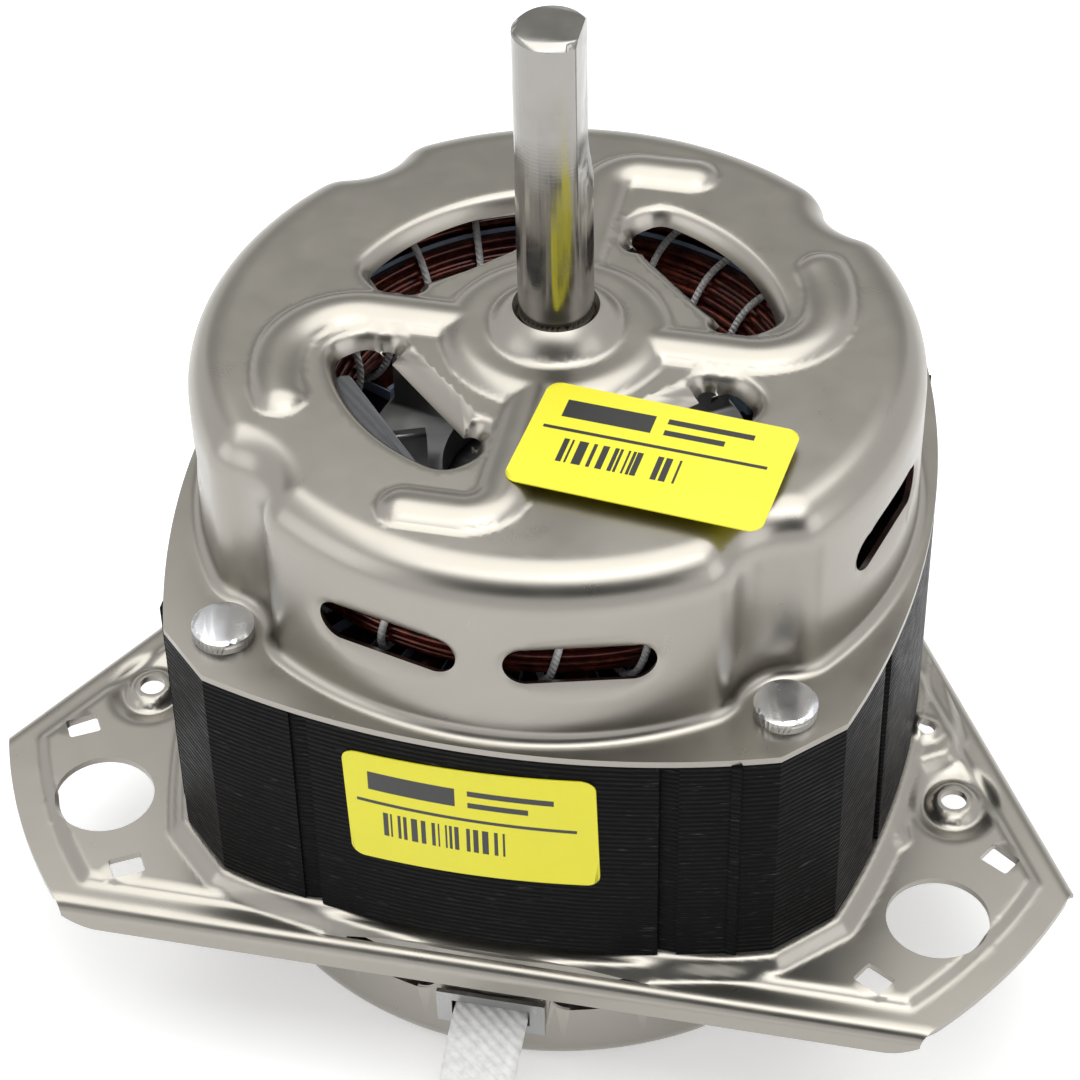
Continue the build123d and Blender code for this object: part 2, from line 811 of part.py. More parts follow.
def route_radii(points):
    """Each arc as large as its two runs allow."""
    radii = []
    for i in range(1, len(points) - 1):
        a, b, c = (Vector(*p) for p in points[i - 1 : i + 2])
        turn = (b - a).get_angle(c - b)
        shorter = min((b - a).length, (c - b).length)
        radii.append(0.45 * shorter / math.tan(math.radians(turn) / 2))
    return radii


def sleeve_path():
    return FilletPolyline(*sleeve_route, radius=route_radii(sleeve_route))


def lead_sleeve():
    path = sleeve_path()
    section = RectangleRounded(sleeve_width, sleeve_thickness, sleeve_thickness * 0.4)
    across = (path % 0).cross(upwards)
    plane = Plane(origin=path @ 0, x_dir=across, z_dir=path % 0)
    body = sweep(plane * section, path=path)
    wanted = section.area * path.length
    print("lead radii", [round(r, 1) for r in route_radii(sleeve_route)], "length", round(path.length, 1))
    print("lead volume over section times length", round(body.volume / wanted, 4))
    return body


def lead_connector():
    end, before = Vector(*sleeve_route[-1]), Vector(*sleeve_route[-2])
    ahead = (end - before).normalized()
    plane = Plane(origin=(end.X, end.Y, connector_height / 2), x_dir=ahead, z_dir=(0, 0, 1))
    body = Pos(connector_length / 2, 0, 0) * Box(connector_length, connector_width, connector_height)
    body = fillet(body.edges().filter_by(Axis.X), connector_height / 9)
    pitch = connector_width / (connector_pins + 1)
    for i in range(connector_pins):
        y = pitch * (i + 1) - connector_width / 2
        depth = connector_length / 2
        body -= Pos(connector_length - depth / 2, y, 0) * Box(depth, pin_hole, pin_hole * 2)
    latch_x = connector_length / 2
    latch_z = connector_height / 2 + latch_height / 2
    body += Pos(latch_x, 0, latch_z) * Box(latch_length, latch_width, latch_height)
    return plane.location * body


def lead_clip():
    """A folded sheet frame that lines the exit and holds the sleeve."""
    width = sleeve_width + 2 * (exit_margin - static_clearance)
    height = sleeve_thickness + 2 * (exit_margin - static_clearance)
    depth = notch_r / 2
    outer = Box(width, depth, height)
    inner = Box(sleeve_width + 2 * soft_gap, depth + overrun, sleeve_thickness + 2 * soft_gap)
    lip_y = -depth / 2 - clip_sheet / 2
    lip = Pos(0, lip_y, 0) * Box(width + 2 * exit_margin, clip_sheet, height + exit_margin)
    return Pos(0, -cover_wall_r + depth / 2 - static_clearance, exit_z) * (outer + lip - inner)


# Plain labels
def front_label():
    block = RectangleRounded(label_width, label_height, label_corner_r)
    block = extrude(block, amount=stack_half + overrun)
    standing = Pos(front_label_x, 0, front_label_z) * Rot(0, front_label_tilt, 0) * Rot(90, 0, 0) * block
    r_in = side_arc_r + contact_gap
    ring = tube(r_in, r_in + label_thickness, stack_foot, stack_top)
    return standing & Pos(0, side_arc_r - stack_half, 0) * ring


def top_label():
    face = RectangleRounded(label_width, label_height, label_corner_r)
    placed = Pos(top_label_x, top_label_y) * Rot(0, 0, top_label_turn) * face
    low = hub_top + contact_gap
    return upright(placed, low, low + label_thickness)


def main():
    os.makedirs("parts", exist_ok=True)
    save(upper_cover(), "upper_cover")
    save(lower_cover(), "lower_cover")
    save(stator_core(), "stator_core")
    save(slot_liners(), "slot_liners")
    save(slot_wedges(), "slot_wedges")
    save(phase_winding(1, slots_of(0)), "main_winding")
    save(phase_winding(-1, slots_of(1)), "auxiliary_winding")
    for end, word in ((1, "upper"), (-1, "lower")):
        for sign, phase in ((1, "main"), (-1, "auxiliary")):
            name = f"{word}_{phase}_turns"
            save(end_turns(sign, end, name), name)
        save(lacing(end, f"{word}_lacing"), f"{word}_lacing")
    save(phase_insulation(), "phase_insulation")
    save(thermal_protector(), "thermal_protector")
    save(protector_leads(), "protector_leads")
    save(through_rivets(), "through_rivets")
    save(bush(upper_bush_z), "upper_bush")
    save(bush(lower_bush_z), "lower_bush")
    save(cup(hub_under, upper_bush_foot - contact_gap, 0.0), "upper_bush_retainer")
    save(cup(sheet, lower_bush_top + contact_gap, 1.0), "lower_bush_retainer")
    save(felt(upper_bush_z, upper_bush_foot, hub_under, retainer_r - retainer_sheet), "upper_oil_felt")
    save(felt(lower_bush_z, seat_top, lower_bush_top, retainer_r - retainer_sheet), "lower_oil_felt")
    save(lower_bush_seat(), "lower_bush_seat")
    save(shaft(), "shaft")
    save(circlips(), "shaft_circlips")
    save(collar(upper_collar_top, upper_clip_top + collar_flange, upper_clip_top), "upper_thrust_collar")
    save(collar(lower_collar_foot, lower_clip_foot - collar_flange, lower_clip_foot), "lower_thrust_collar")
    save(rotor_core(), "rotor_core")
    save(rotor_cage(), "rotor_cage")
    save(lead_clip(), "lead_clip")
    save(lead_sleeve(), "lead_sleeve")
    save(lead_connector(), "lead_connector")
    save(front_label(), "front_label")
    save(top_label(), "top_label")


main()
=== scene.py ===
import math

import bpy
import numpy as np
from mathutils import Matrix, Vector, geometry


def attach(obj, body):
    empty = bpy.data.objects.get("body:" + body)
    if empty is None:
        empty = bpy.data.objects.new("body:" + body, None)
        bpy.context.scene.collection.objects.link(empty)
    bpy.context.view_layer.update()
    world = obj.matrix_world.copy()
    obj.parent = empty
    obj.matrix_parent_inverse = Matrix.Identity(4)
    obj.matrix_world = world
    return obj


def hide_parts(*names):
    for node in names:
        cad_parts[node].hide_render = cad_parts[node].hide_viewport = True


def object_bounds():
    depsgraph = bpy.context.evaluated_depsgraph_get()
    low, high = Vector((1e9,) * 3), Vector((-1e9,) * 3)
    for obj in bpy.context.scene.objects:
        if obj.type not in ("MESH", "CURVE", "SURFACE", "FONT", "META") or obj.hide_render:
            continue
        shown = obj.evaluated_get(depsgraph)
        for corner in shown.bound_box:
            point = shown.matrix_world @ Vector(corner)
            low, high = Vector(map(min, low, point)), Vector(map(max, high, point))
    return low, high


bl_info = {
    "name": "Washing machine motor",
    "version": (1, 0, 0),
    "blender": (4, 5, 0),
    "location": "View3D > Sidebar > Motor",
    "description": "Dresses a vertical-shaft washing machine motor with its real finishes",
    "category": "Object",
}

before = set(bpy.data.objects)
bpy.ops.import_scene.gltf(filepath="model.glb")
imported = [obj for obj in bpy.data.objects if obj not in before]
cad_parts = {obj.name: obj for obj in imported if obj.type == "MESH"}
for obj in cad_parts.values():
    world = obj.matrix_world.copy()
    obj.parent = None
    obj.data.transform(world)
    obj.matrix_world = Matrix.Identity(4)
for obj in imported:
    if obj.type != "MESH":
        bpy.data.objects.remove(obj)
cad_low, cad_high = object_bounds()

# Lengths of the panels are in millimetres until their mesh is written
MM = 0.001
DEGREE = math.pi / 180
HOUSING = "housing"
ROTOR = "rotor"

# Photograph's camera
CAMERA_AZIMUTH = 12.827
CAMERA_ELEVATION = 43.114
CAMERA_ROLL = -1.278
CAMERA_RIGHT = -3.854
CAMERA_UP = 23.079
CAMERA_BACK = 573.428
CAMERA_LEVEL = 34.5
CAMERA_LENS = 110.36
SENSOR_WIDTH = 36.0

# Lead
SLEEVE_WIDTH = 12.5
SLEEVE_THICKNESS = 3.0
LEAD_ROUTE = (
    (0, -54.5, 14),
    (0, -66.5, 13.4),
    (0, -79, 1.6),
    (0, -97, 1.6),
    (26, -116, 1.6),
    (66, -121, 1.6),
    (106, -113, 1.6),
    (134, -88, 1.6),
    (144, -56, 1.6),
)

# Pressed covers
SHEET = 1.2
WALL_R = 58.5
BEND_R = 6.5
NOTCH_FLOOR_R = 55.1
NOTCH_R = 10.0
SHOULDER_R = 8.0
FACE_LEVEL = 111.0
EMBOSS = 1.8
HUB_R = 18.4
RIB_HALF = 4.3
RIB_REACH = 29.6
HOOK_R = 12.0
TAIL_TURN = 30.0
KNEE_R = 6.0
LEG_REACH = 38.1
FOOT_LENGTH = 8.0
BOSS_R = 12.3
BOSS_CENTRE = 106.42
BOSS_MOUTH = 6.9
BOSS_FILLET = 1.5
BOSS_POINTS = 72
WINDOW_OUTER = 35.2
WINDOW_CHORD = 24.0
WINDOW_HALF = 16.5
WINDOW_CORNER = 3.6
WINDOW_TIP = WINDOW_CORNER / 1.7
WINDOW_KEY_R = 1.7
WINDOW_KEY_INSET = 4.2
LIP_DEPTH = 2.8
LIP_WIDTH = 2.4
FLANGE_LEVEL = 79.2
FLANGE_BEND = 2.2
SLOT_START = 3.5
SLOT_END = 26.5
SLOT_HEIGHT = 7.0
SLOT_LEVEL = 94.46
SLOT_LIP = 0.5
SLOT_LIP_WIDTH = 1.6
RIVET_PLACE = 44.42
RIVET_HOLE_R = 2.2

# Points and rows of the pressed sheets, with closer rows round their holes
PANEL_PITCH = 0.8
WALL_PITCH = 1.1
FLANGE_PITCH = 1.2
FACE_ROWS = (0.35, 0.8, 1.3, 1.9, 2.5)
WALL_ROWS = (0.4, 0.9, 1.5)
PLATE_ROWS = (0.4, 0.9)
ROW_CLEARANCE = 0.9
MERGE_DISTANCE = 1e-5
COPY_MERGE_DISTANCE = 1e-6
BEND_ROWS = 11
WALL_LEVELS = 28
SKIRT_BEND_ROWS = 8
SKIRT_ROWS = 6
SIDE_POINTS = 110

# Mounting plate
PLATE_LEVEL = 32.4
PLATE_REACH = 93.5
PLATE_HALF = 20.7
BORDER_DROP = 1.1
BORDER_WIDTH = 4.8
BORDER_STEP = 2.2
SKIRT_BEND = 2.4
SKIRT_FOOT = 26.3
SKIRT_END = 6.0
SKIRT_END_CUT = 0.9
SKIRT_FIRST_ROW = 0.15
HOLE_CIRCLE_R = 81.2
HOLE_R = 8.4
SQUARE_ALONG = 5.4
SQUARE_ACROSS = 4.2
SQUARE_OFFSET = 16.8
SQUARE_CORNER = 0.5
DIMPLES = ((69.8, -14.6), (-69.8, -14.6))
DIMPLE_R = 2.2
DISH_DEPTH = 1.3
DISH_EDGE = (4.8, 8.2)
DISH_STRETCH = (1.0, 0.85)
DISH_COLLAR = 1.5
DISH_COLLAR_EDGE = (3.0, 4.8)
SCREW_HOLE = (63.3, -0.7)
SCREW_HOLE_R = 1.6
SCREW_COLLAR = 0.7
SCREW_COLLAR_EDGE = (1.8, 3.0)
SEAT_RISE = 2.05
SEAT_EDGE = (0.8, 3.6)
APRON_RISE = 1.4
APRON_EDGE = (0.2, 2.4)
APRON = (
    (56, 19), (62.5, 18), (68.0, 0.5), (67.2, -4.6),
    (60.5, -9.0), (58.8, -14.8), (61.5, -25), (56, -31),
)
PLATE_OPENING = 0.92
DOME_SHARE = 0.985
CORE_HALF = 61.2
CORE_CORNER_X = 54.06
CORE_CORNER_Y = 45.3

# Steepest edges, in degrees, that are shaded smooth
FLAT_ANGLE = 32
SHEET_ANGLE = 50
ROUND_ANGLE = 40
CORE_ANGLE = 20

# Labels: the middle's two places and the turn in degrees
FRONT_LABEL = (-1.8, 62.3, 0.0)
TOP_LABEL = (20.9, -26.9, -5.5)

# Printed bars: start and end along the label, low and high across it
BLOCK = (-16, -2, 3.5, 7.5)
LINES = ((0, 13.5, 6.2, 7.4), (0, 9.5, 3.6, 4.8), (-18, 17, 0.4, 1.1))
STRIPES = (-14, 6, -6.5, -1.2)

# Laminations and the repeat of a wave texture of scale 1, in metres
LAMINATION = 0.0005
WAVE_REPEAT = 0.314

# Studio, in metres: softboxes with place, width and setting
SOFTBOXES = (
    ("Overhead softbox", (0.0, 0.05, 1.0), 1.1, "key_power"),
    ("Left softbox", (-0.9, -0.6, 0.5), 0.7, "side_power"),
    ("Right softbox", (1.0, -0.3, 0.55), 0.7, "side_power"),
)
SOFTBOX_AIM = (0, 0, 0.08)

# Cards by azimuth, elevation, distance, width, height and brightness
CARDS = (
    ("Grey card", 192.8, 30, 1.6, 2.6, 0.9, 0.46),
    ("White card", 192.8, 84, 0.9, 0.8, 0.8, 3.0),
    ("Black card", 12.8, 42, 1.3, 1.6, 0.8, 0.02),
)
CARD_AIM = (0, 0, 0.09)
CARD_WARMTH = 0.96
WORLD_LIGHT = 0.55
FLOOR_GLOW = 0.35


class MOTOR_PG_finishes(bpy.types.PropertyGroup):
    """Colours and roughness of the motor's finishes"""

    steel: bpy.props.FloatVectorProperty(
        name="Plated steel", description="Colour of the plated covers and plate", subtype="COLOR",
        size=3, min=0, max=1, default=(0.34, 0.322, 0.291))
    steel_roughness: bpy.props.FloatProperty(
        name="Steel roughness", description="How dull the plating is", default=0.29, min=0, max=1)
    lacquer: bpy.props.FloatVectorProperty(
        name="Core lacquer", description="Colour of the lacquered lamination edges", subtype="COLOR",
        size=3, min=0, max=1, default=(0.004, 0.004, 0.0045))
    copper: bpy.props.FloatVectorProperty(
        name="Enamelled copper", description="Colour of the enamelled wire", subtype="COLOR",
        size=3, min=0, max=1, default=(0.085, 0.014, 0.009))
    cord: bpy.props.FloatVectorProperty(
        name="Lacing cord", description="Colour of the lacing cord", subtype="COLOR",
        size=3, min=0, max=1, default=(0.88, 0.88, 0.87))
    film: bpy.props.FloatVectorProperty(
        name="Insulation film", description="Colour of the slot and phase insulation",
        subtype="COLOR", size=3, min=0, max=1, default=(0.42, 0.52, 0.68))
    label: bpy.props.FloatVectorProperty(
        name="Label yellow", description="Colour of the two labels", subtype="COLOR",
        size=3, min=0, max=1, default=(0.86, 0.80, 0.02))


class MOTOR_PG_stage(bpy.types.PropertyGroup):
    """Studio that the motor stands in"""

    key_power: bpy.props.FloatProperty(
        name="Overhead light", description="Power of the overhead softbox", default=7.5, min=0,
        unit="POWER")
    side_power: bpy.props.FloatProperty(
        name="Side lights", description="Power of each side softbox", default=1.5, min=0,
        unit="POWER")
    floor_size: bpy.props.FloatProperty(
        name="Floor", description="Width of the pale floor", default=12.0, min=1, unit="LENGTH")


# Material nodes
class Finish:
    """One material, built node by node on Object coordinates."""

    def __init__(self, name, colour, roughness, metallic=0.0, **sockets):
        self.material = bpy.data.materials.new(name)
        self.material.use_nodes = True
        self.nodes = self.material.node_tree.nodes
        self.links = self.material.node_tree.links
        self.shader = self.nodes["Principled BSDF"]
        self.shader.inputs["Base Color"].default_value = (*colour, 1)
        self.shader.inputs["Roughness"].default_value = roughness
        self.shader.inputs["Metallic"].default_value = metallic
        for socket, value in sockets.items():
            self.shader.inputs[socket.replace("_", " ")].default_value = value
        self.place = self.nodes.new("ShaderNodeTexCoord").outputs["Object"]
        self.relief = None

    def link(self, source, target):
        self.links.new(source, target)

    def maths(self, kind, a, b=0.0, c=0.0):
        node = self.nodes.new("ShaderNodeMath")
        node.operation = kind
        for socket, value in zip(node.inputs, (a, b, c)):
            if isinstance(value, bpy.types.NodeSocket):
                self.link(value, socket)
            else:
                socket.default_value = value
        return node.outputs[0]

    def split(self, place):
        node = self.nodes.new("ShaderNodeSeparateXYZ")
        self.link(place, node.inputs[0])
        return node.outputs

    def moved(self, location=(0, 0, 0), rotation=(0, 0, 0), scale=(1, 1, 1)):
        node = self.nodes.new("ShaderNodeMapping")
        node.vector_type = "TEXTURE"
        self.link(self.place, node.inputs["Vector"])
        node.inputs["Location"].default_value = location
        node.inputs["Rotation"].default_value = rotation
        node.inputs["Scale"].default_value = scale
        return node.outputs[0]

    def noise(self, scale, detail=3.0, roughness=0.55, place=None):
        node = self.nodes.new("ShaderNodeTexNoise")
        self.link(place or self.place, node.inputs["Vector"])
        node.inputs["Scale"].default_value = scale
        node.inputs["Detail"].default_value = detail
        node.inputs["Roughness"].default_value = roughness
        return node.outputs["Fac"]

    def bands(self, period, direction="Z", distortion=0.0):
        node = self.nodes.new("ShaderNodeTexWave")
        node.bands_direction = direction
        self.link(self.place, node.inputs["Vector"])
        node.inputs["Scale"].default_value = WAVE_REPEAT / period
        node.inputs["Distortion"].default_value = distortion
        return node.outputs["Fac"]

    def spread(self, value, low, high, out_low=0.0, out_high=1.0):
        node = self.nodes.new("ShaderNodeMapRange")
        self.link(value, node.inputs["Value"])
        ends = {"From Min": low, "From Max": high, "To Min": out_low, "To Max": out_high}
        for socket, number in ends.items():
            node.inputs[socket].default_value = number
        return node.outputs[0]

    def bar(self, along, across, start, end, low, high):
        """1 inside a printed bar, from start to end and low to high, else 0."""
        inside_along = self.maths("COMPARE", along, (start + end) / 2, (end - start) / 2)
        inside_across = self.maths("COMPARE", across, (low + high) / 2, (high - low) / 2)
        return self.maths("MULTIPLY", inside_along, inside_across)

    def tint(self, share, colour):
        """Blends the present base colour towards another by a share."""
        target = self.shader.inputs["Base Color"]
        node = self.nodes.new("ShaderNodeMix")
        node.data_type = "RGBA"
        if target.is_linked:
            self.link(target.links[0].from_socket, node.inputs[6])
        else:
            node.inputs[6].default_value = target.default_value
        node.inputs[7].default_value = (*colour, 1)
        self.link(share, node.inputs[0])
        self.link(node.outputs[2], target)

    def rough(self, value):
        self.link(value, self.shader.inputs["Roughness"])

    def raise_by(self, height, distance, strength=1.0):
        """Adds relief to what is there already."""
        node = self.nodes.new("ShaderNodeBump")
        node.inputs["Strength"].default_value = strength
        node.inputs["Distance"].default_value = distance
        self.link(height, node.inputs["Height"])
        if self.relief is not None:
            self.link(self.relief, node.inputs["Normal"])
        self.relief = node.outputs[0]
        self.link(self.relief, self.shader.inputs["Normal"])


# Finishes that more than one operator uses
finishes = {}


def shaded(colour, share):
    return tuple(share * c for c in colour)


def plated_steel(settings):
    finish = Finish("Plated steel", settings.steel, settings.steel_roughness, 1.0)
    cloud = finish.spread(finish.noise(scale=18), low=0.42, high=0.75, out_high=0.25)
    finish.tint(cloud, shaded(settings.steel, 0.82))
    least = settings.steel_roughness - 0.02
    dullness = finish.noise(scale=140, detail=5)
    finish.rough(finish.spread(dullness, low=0.3, high=0.7, out_low=least, out_high=least + 0.05))
    finish.raise_by(finish.noise(scale=30, detail=2), distance=0.0003, strength=0.12)
    return finish.material


def lacquered_core(settings):
    finish = Finish("Lacquered lamination edges", settings.lacquer, 0.38, Specular_IOR_Level=0.05)
    along = finish.moved(scale=(8 * LAMINATION, 8 * LAMINATION, LAMINATION))
    # Lighter flecks painted into the lacquer's colour stand in for glints of sparkle; the same flecks also
    # raise the relief and vary the roughness.
    fleck_and_glint = finish.noise(scale=1.0, roughness=0.6, place=along)
    finish.tint(finish.spread(fleck_and_glint, low=0.64, high=0.8), (0.08, 0.08, 0.08))
    finish.raise_by(finish.bands(2 * LAMINATION, distortion=0.6), distance=0.00012, strength=0.9)
    finish.raise_by(fleck_and_glint, distance=0.0002, strength=0.6)
    finish.rough(finish.spread(fleck_and_glint, low=0.3, high=0.7, out_low=0.28, out_high=0.55))
    return finish.material


def enamelled_copper(settings):
    finish = Finish("Enamelled copper", settings.copper, 0.32, 0.55, Coat_Weight=0.5,
                    Coat_Roughness=0.2)
    glints = finish.spread(finish.noise(scale=320), low=0.45, high=0.7)
    finish.tint(glints, (0.24, 0.045, 0.02))
    finish.raise_by(finish.noise(scale=1500, detail=2), distance=0.00008, strength=0.6)
    return finish.material


def soft_cord(name, colour, period):
    finish = Finish(name, colour, 0.85, Sheen_Weight=0.3)
    # Darker patches at random are painted shade for the weave's hollows.
    painted_hollow_shade = finish.spread(finish.noise(scale=700, detail=2), low=0.35, high=0.6, out_low=0.5, out_high=0.0)
    finish.tint(painted_hollow_shade, shaded(colour, 0.7))
    finish.raise_by(finish.bands(period, "DIAGONAL"), distance=0.0002, strength=0.8)
    return finish.material


def moulded(name, colour, roughness):
    finish = Finish(name, colour, roughness)
    cloud = finish.spread(finish.noise(scale=120), low=0.45, high=0.75, out_high=0.4)
    finish.tint(cloud, shaded(colour, 0.85))
    finish.raise_by(finish.noise(scale=1100), distance=0.00005, strength=0.5)
    return finish.material


def bare_metal(name, colour, roughness, period=0.0006, direction="Z", depth=0.00003):
    finish = Finish(name, colour, roughness, 1.0)
    cloud = finish.spread(finish.noise(scale=60, detail=4), low=0.4, high=0.75, out_high=0.5)
    finish.tint(cloud, shaded(colour, 0.8))
    dullness = finish.noise(scale=200, detail=4)
    finish.rough(finish.spread(dullness, low=0.3, high=0.7, out_low=roughness - 0.05,
                               out_high=roughness + 0.1))
    finish.raise_by(finish.bands(period, direction, 1.5), distance=depth, strength=0.6)
    return finish.material


def printed_label(settings, name, middle, turn, upright=False):
    """Yellow paper with a plain block, plain lines and random stripes."""
    finish = Finish(name, settings.label, 0.42, Coat_Weight=0.15, Coat_Roughness=0.3)
    worn = finish.spread(finish.noise(scale=70), low=0.45, high=0.8, out_high=0.4)
    finish.tint(worn, (0.80, 0.74, 0.05))
    finish.raise_by(finish.noise(scale=600), distance=0.00005, strength=0.5)
    centre = shaded(middle, MM)
    along, across, up = finish.split(finish.moved(centre, turn, (MM, MM, MM)))
    across = up if upright else across
    ink = finish.bar(along, across, *BLOCK)
    for line in LINES:
        ink = finish.maths("MAXIMUM", ink, finish.bar(along, across, *line))
    uneven = finish.noise(scale=1.3, detail=0, roughness=0.5, place=finish.moved(centre, turn, (MM, 1, 1)))
    stripes = finish.maths("GREATER_THAN", uneven, 0.5)
    stripes = finish.maths("MULTIPLY", stripes, finish.bar(along, across, *STRIPES))
    finish.tint(finish.maths("MAXIMUM", ink, stripes), (0.015, 0.015, 0.015))
    return finish.material


# Panel outlines, in millimetres
def arc(centre, radius, start, end, count):
    """Points on an arc, the last one left out."""
    turn = np.radians(np.linspace(start, end, count, endpoint=False))
    return [(centre[0] + radius * math.cos(a), centre[1] + radius * math.sin(a)) for a in turn]


def heading(a, b):
    return math.degrees(math.atan2(b[1] - a[1], b[0] - a[0]))


def cover_outline(inset):
    """The dome's outline with its four notches, moved inwards."""
    wall, notch, shoulder = WALL_R - inset, NOTCH_R + inset, SHOULDER_R - inset
    notch_at = NOTCH_FLOOR_R + NOTCH_R
    hub = WALL_R - SHOULDER_R
    reach = NOTCH_R + SHOULDER_R
    swing = math.degrees(math.acos((hub**2 + notch_at**2 - reach**2) / (2 * hub * notch_at)))
    points = []
    for quarter in range(4):
        middle = 45 + 90 * quarter
        points += arc((0, 0), wall, middle - 90 + swing, middle - swing, 48)
        centre = arc((0, 0), notch_at, middle, middle, 1)[0]
        knees = [arc((0, 0), hub, middle + sign * swing, middle, 1)[0] for sign in (-1, 1)]
        ahead = middle + (heading(knees[0], centre) - middle) % 360
        points += arc(knees[0], shoulder, middle - swing, ahead, 12)
        points += arc(centre, notch, ahead + 180, 2 * middle - ahead + 180, 16)
        points += arc(knees[1], shoulder, 2 * middle - ahead, middle + swing, 12)
    return points


def eased(before, corner, after, cut, count=6):
    """A rounded corner, from a cut before it to a cut after it."""
    before, corner, after = map(np.array, (before, corner, after))
    start = corner + (before - corner) / np.linalg.norm(before - corner) * cut
    end = corner + (after - corner) / np.linalg.norm(after - corner) * cut
    return [tuple((1 - t)**2 * start + 2 * t * (1 - t) * corner + t * t * end)
            for t in np.linspace(0, 1, count)]


def window_outline(turn):
    """One kidney window with a small key at each inner end."""
    side = math.sqrt(WINDOW_OUTER**2 - WINDOW_HALF**2)
    bend = math.degrees(math.atan2(WINDOW_HALF, side))
    swing = bend - math.degrees(WINDOW_TIP / WINDOW_OUTER)
    outer = arc((0, 0), WINDOW_OUTER, -swing, swing, 36)
    outer += arc((0, 0), WINDOW_OUTER, swing, swing, 1)
    low_tip, high_tip = (side, -WINDOW_HALF), (side, WINDOW_HALF)
    low_heel, high_heel = (WINDOW_CHORD, -WINDOW_HALF), (WINDOW_CHORD, WINDOW_HALF)
    points = eased(low_heel, low_tip, outer[0], WINDOW_TIP)
    points += outer[1:-1]
    points += eased(outer[-1], high_tip, high_heel, WINDOW_TIP)
    points += eased(high_tip, high_heel, (WINDOW_CHORD, 0), WINDOW_CORNER)
    key_at = WINDOW_HALF - WINDOW_KEY_INSET
    for y in (key_at, -key_at):
        points += arc((WINDOW_CHORD, y), WINDOW_KEY_R, 90, 270, 9)
        points.append((WINDOW_CHORD, y - WINDOW_KEY_R))
    points += eased((WINDOW_CHORD, 0), low_heel, low_tip, WINDOW_CORNER)
    spin = np.array([[math.cos(turn), -math.sin(turn)], [math.sin(turn), math.cos(turn)]])
    return [tuple(p) for p in np.array(points) @ spin.T]


def rib_lines():
    """Centre lines of the four hooked ribs."""
    hook = (-RIB_REACH, -HOOK_R)
    tail = (2 * HOOK_R - RIB_REACH - HOOK_R, -HOOK_R)
    long_rib = [(0, 0), (-RIB_REACH, 0)] + arc(hook, HOOK_R, 90, 180, 24)
    long_rib += arc(tail, 2 * HOOK_R, 180, 180 + TAIL_TURN, 16)
    short_rib = [(0, 0), (0, -LEG_REACH)] + arc((-KNEE_R, -LEG_REACH), KNEE_R, 0, -90, 16)
    short_rib += [(-KNEE_R, -LEG_REACH - KNEE_R), (-KNEE_R - FOOT_LENGTH, -LEG_REACH - KNEE_R)]
    lines = [np.array(long_rib), np.array(short_rib)]
    return lines + [-line for line in lines]


def distance_to(points, line, closed):
    """Least distance of each point to a line of points."""
    line = np.array(line)
    ends = np.roll(line, -1, axis=0) if closed else line[1:]
    starts = line if closed else line[:-1]
    best = np.full(len(points), np.inf)
    for a, b in zip(starts, ends):
        along = b - a
        size = along @ along
        if size < 1e-12:
            continue
        share = np.clip(((points - a) @ along) / size, 0, 1)
        best = np.minimum(best, np.linalg.norm(points - a - share[:, None] * along, axis=1))
    return best


def inside(points, loop):
    """Which points lie inside a closed loop."""
    loop = np.array(loop)
    x, y = points[:, 0], points[:, 1]
    found = np.zeros(len(points), bool)
    for (x0, y0), (x1, y1) in zip(loop, np.roll(loop, -1, axis=0)):
        crosses = (y0 > y) != (y1 > y)
        if y1 != y0:
            found ^= crosses & (x < (x1 - x0) * (y - y0) / (y1 - y0) + x0)
    return found


def swollen(loop, amount):
    """A loop's points moved outwards along its normals."""
    loop = np.array(loop)
    along = np.roll(loop, -1, axis=0) - np.roll(loop, 1, axis=0)
    along /= np.linalg.norm(along, axis=1)[:, None]
    normal = np.stack([along[:, 1], -along[:, 0]], axis=1)
    return loop + normal * amount


def sheet_points(outline, holes, pitch, lips):
    """Even points inside a panel, with closer rows round its holes."""
    low, high = np.min(outline, axis=0), np.max(outline, axis=0)
    rows = np.arange(low[1], high[1], pitch * math.sqrt(3) / 2)
    points = [(x + pitch / 2 * (i % 2), y) for i, y in enumerate(rows)
              for x in np.arange(low[0], high[0], pitch)]
    points = np.array(points)
    points = points[inside(points, outline)]
    points = points[distance_to(points, outline, True) > pitch / 2]
    widest = max(lips) if lips else 0
    for hole in holes:
        points = points[~inside(points, hole)]
        points = points[distance_to(points, hole, True) > widest + pitch / 2]
    extra = []
    for hole in holes:
        for lip in lips:
            row = swollen(hole, lip)
            keep = ~inside(row, hole) & (distance_to(row, hole, True) > ROW_CLEARANCE * lip)
            row = row[keep & inside(row, outline)]
            extra.append(row[distance_to(row, outline, True) > pitch / 2])
    return np.vstack([points, *extra])


def panel_mesh(name, outline, holes, height, pitch, lips, bands, thickness, *more):
    """A pressed sheet: flat stretches lifted to their place, and the bent bands between."""
    vertices, faces = flat_part(outline, holes, height, pitch, lips)
    for part in more:
        extra, cells = flat_part(*part)
        faces += [[i + len(vertices) for i in cell] for cell in cells]
        vertices += extra
    for rows, closed in bands:
        first, count = len(vertices), len(rows[0])
        vertices += [(x * MM, y * MM, z * MM) for row in rows for x, y, z in row]
        for r in range(len(rows) - 1):
            for i in range(count if closed else count - 1):
                a, b = first + r * count + i, first + r * count + (i + 1) % count
                faces.append([a, b, b + count, a + count])
    return finished_sheet(name, vertices, faces, thickness)


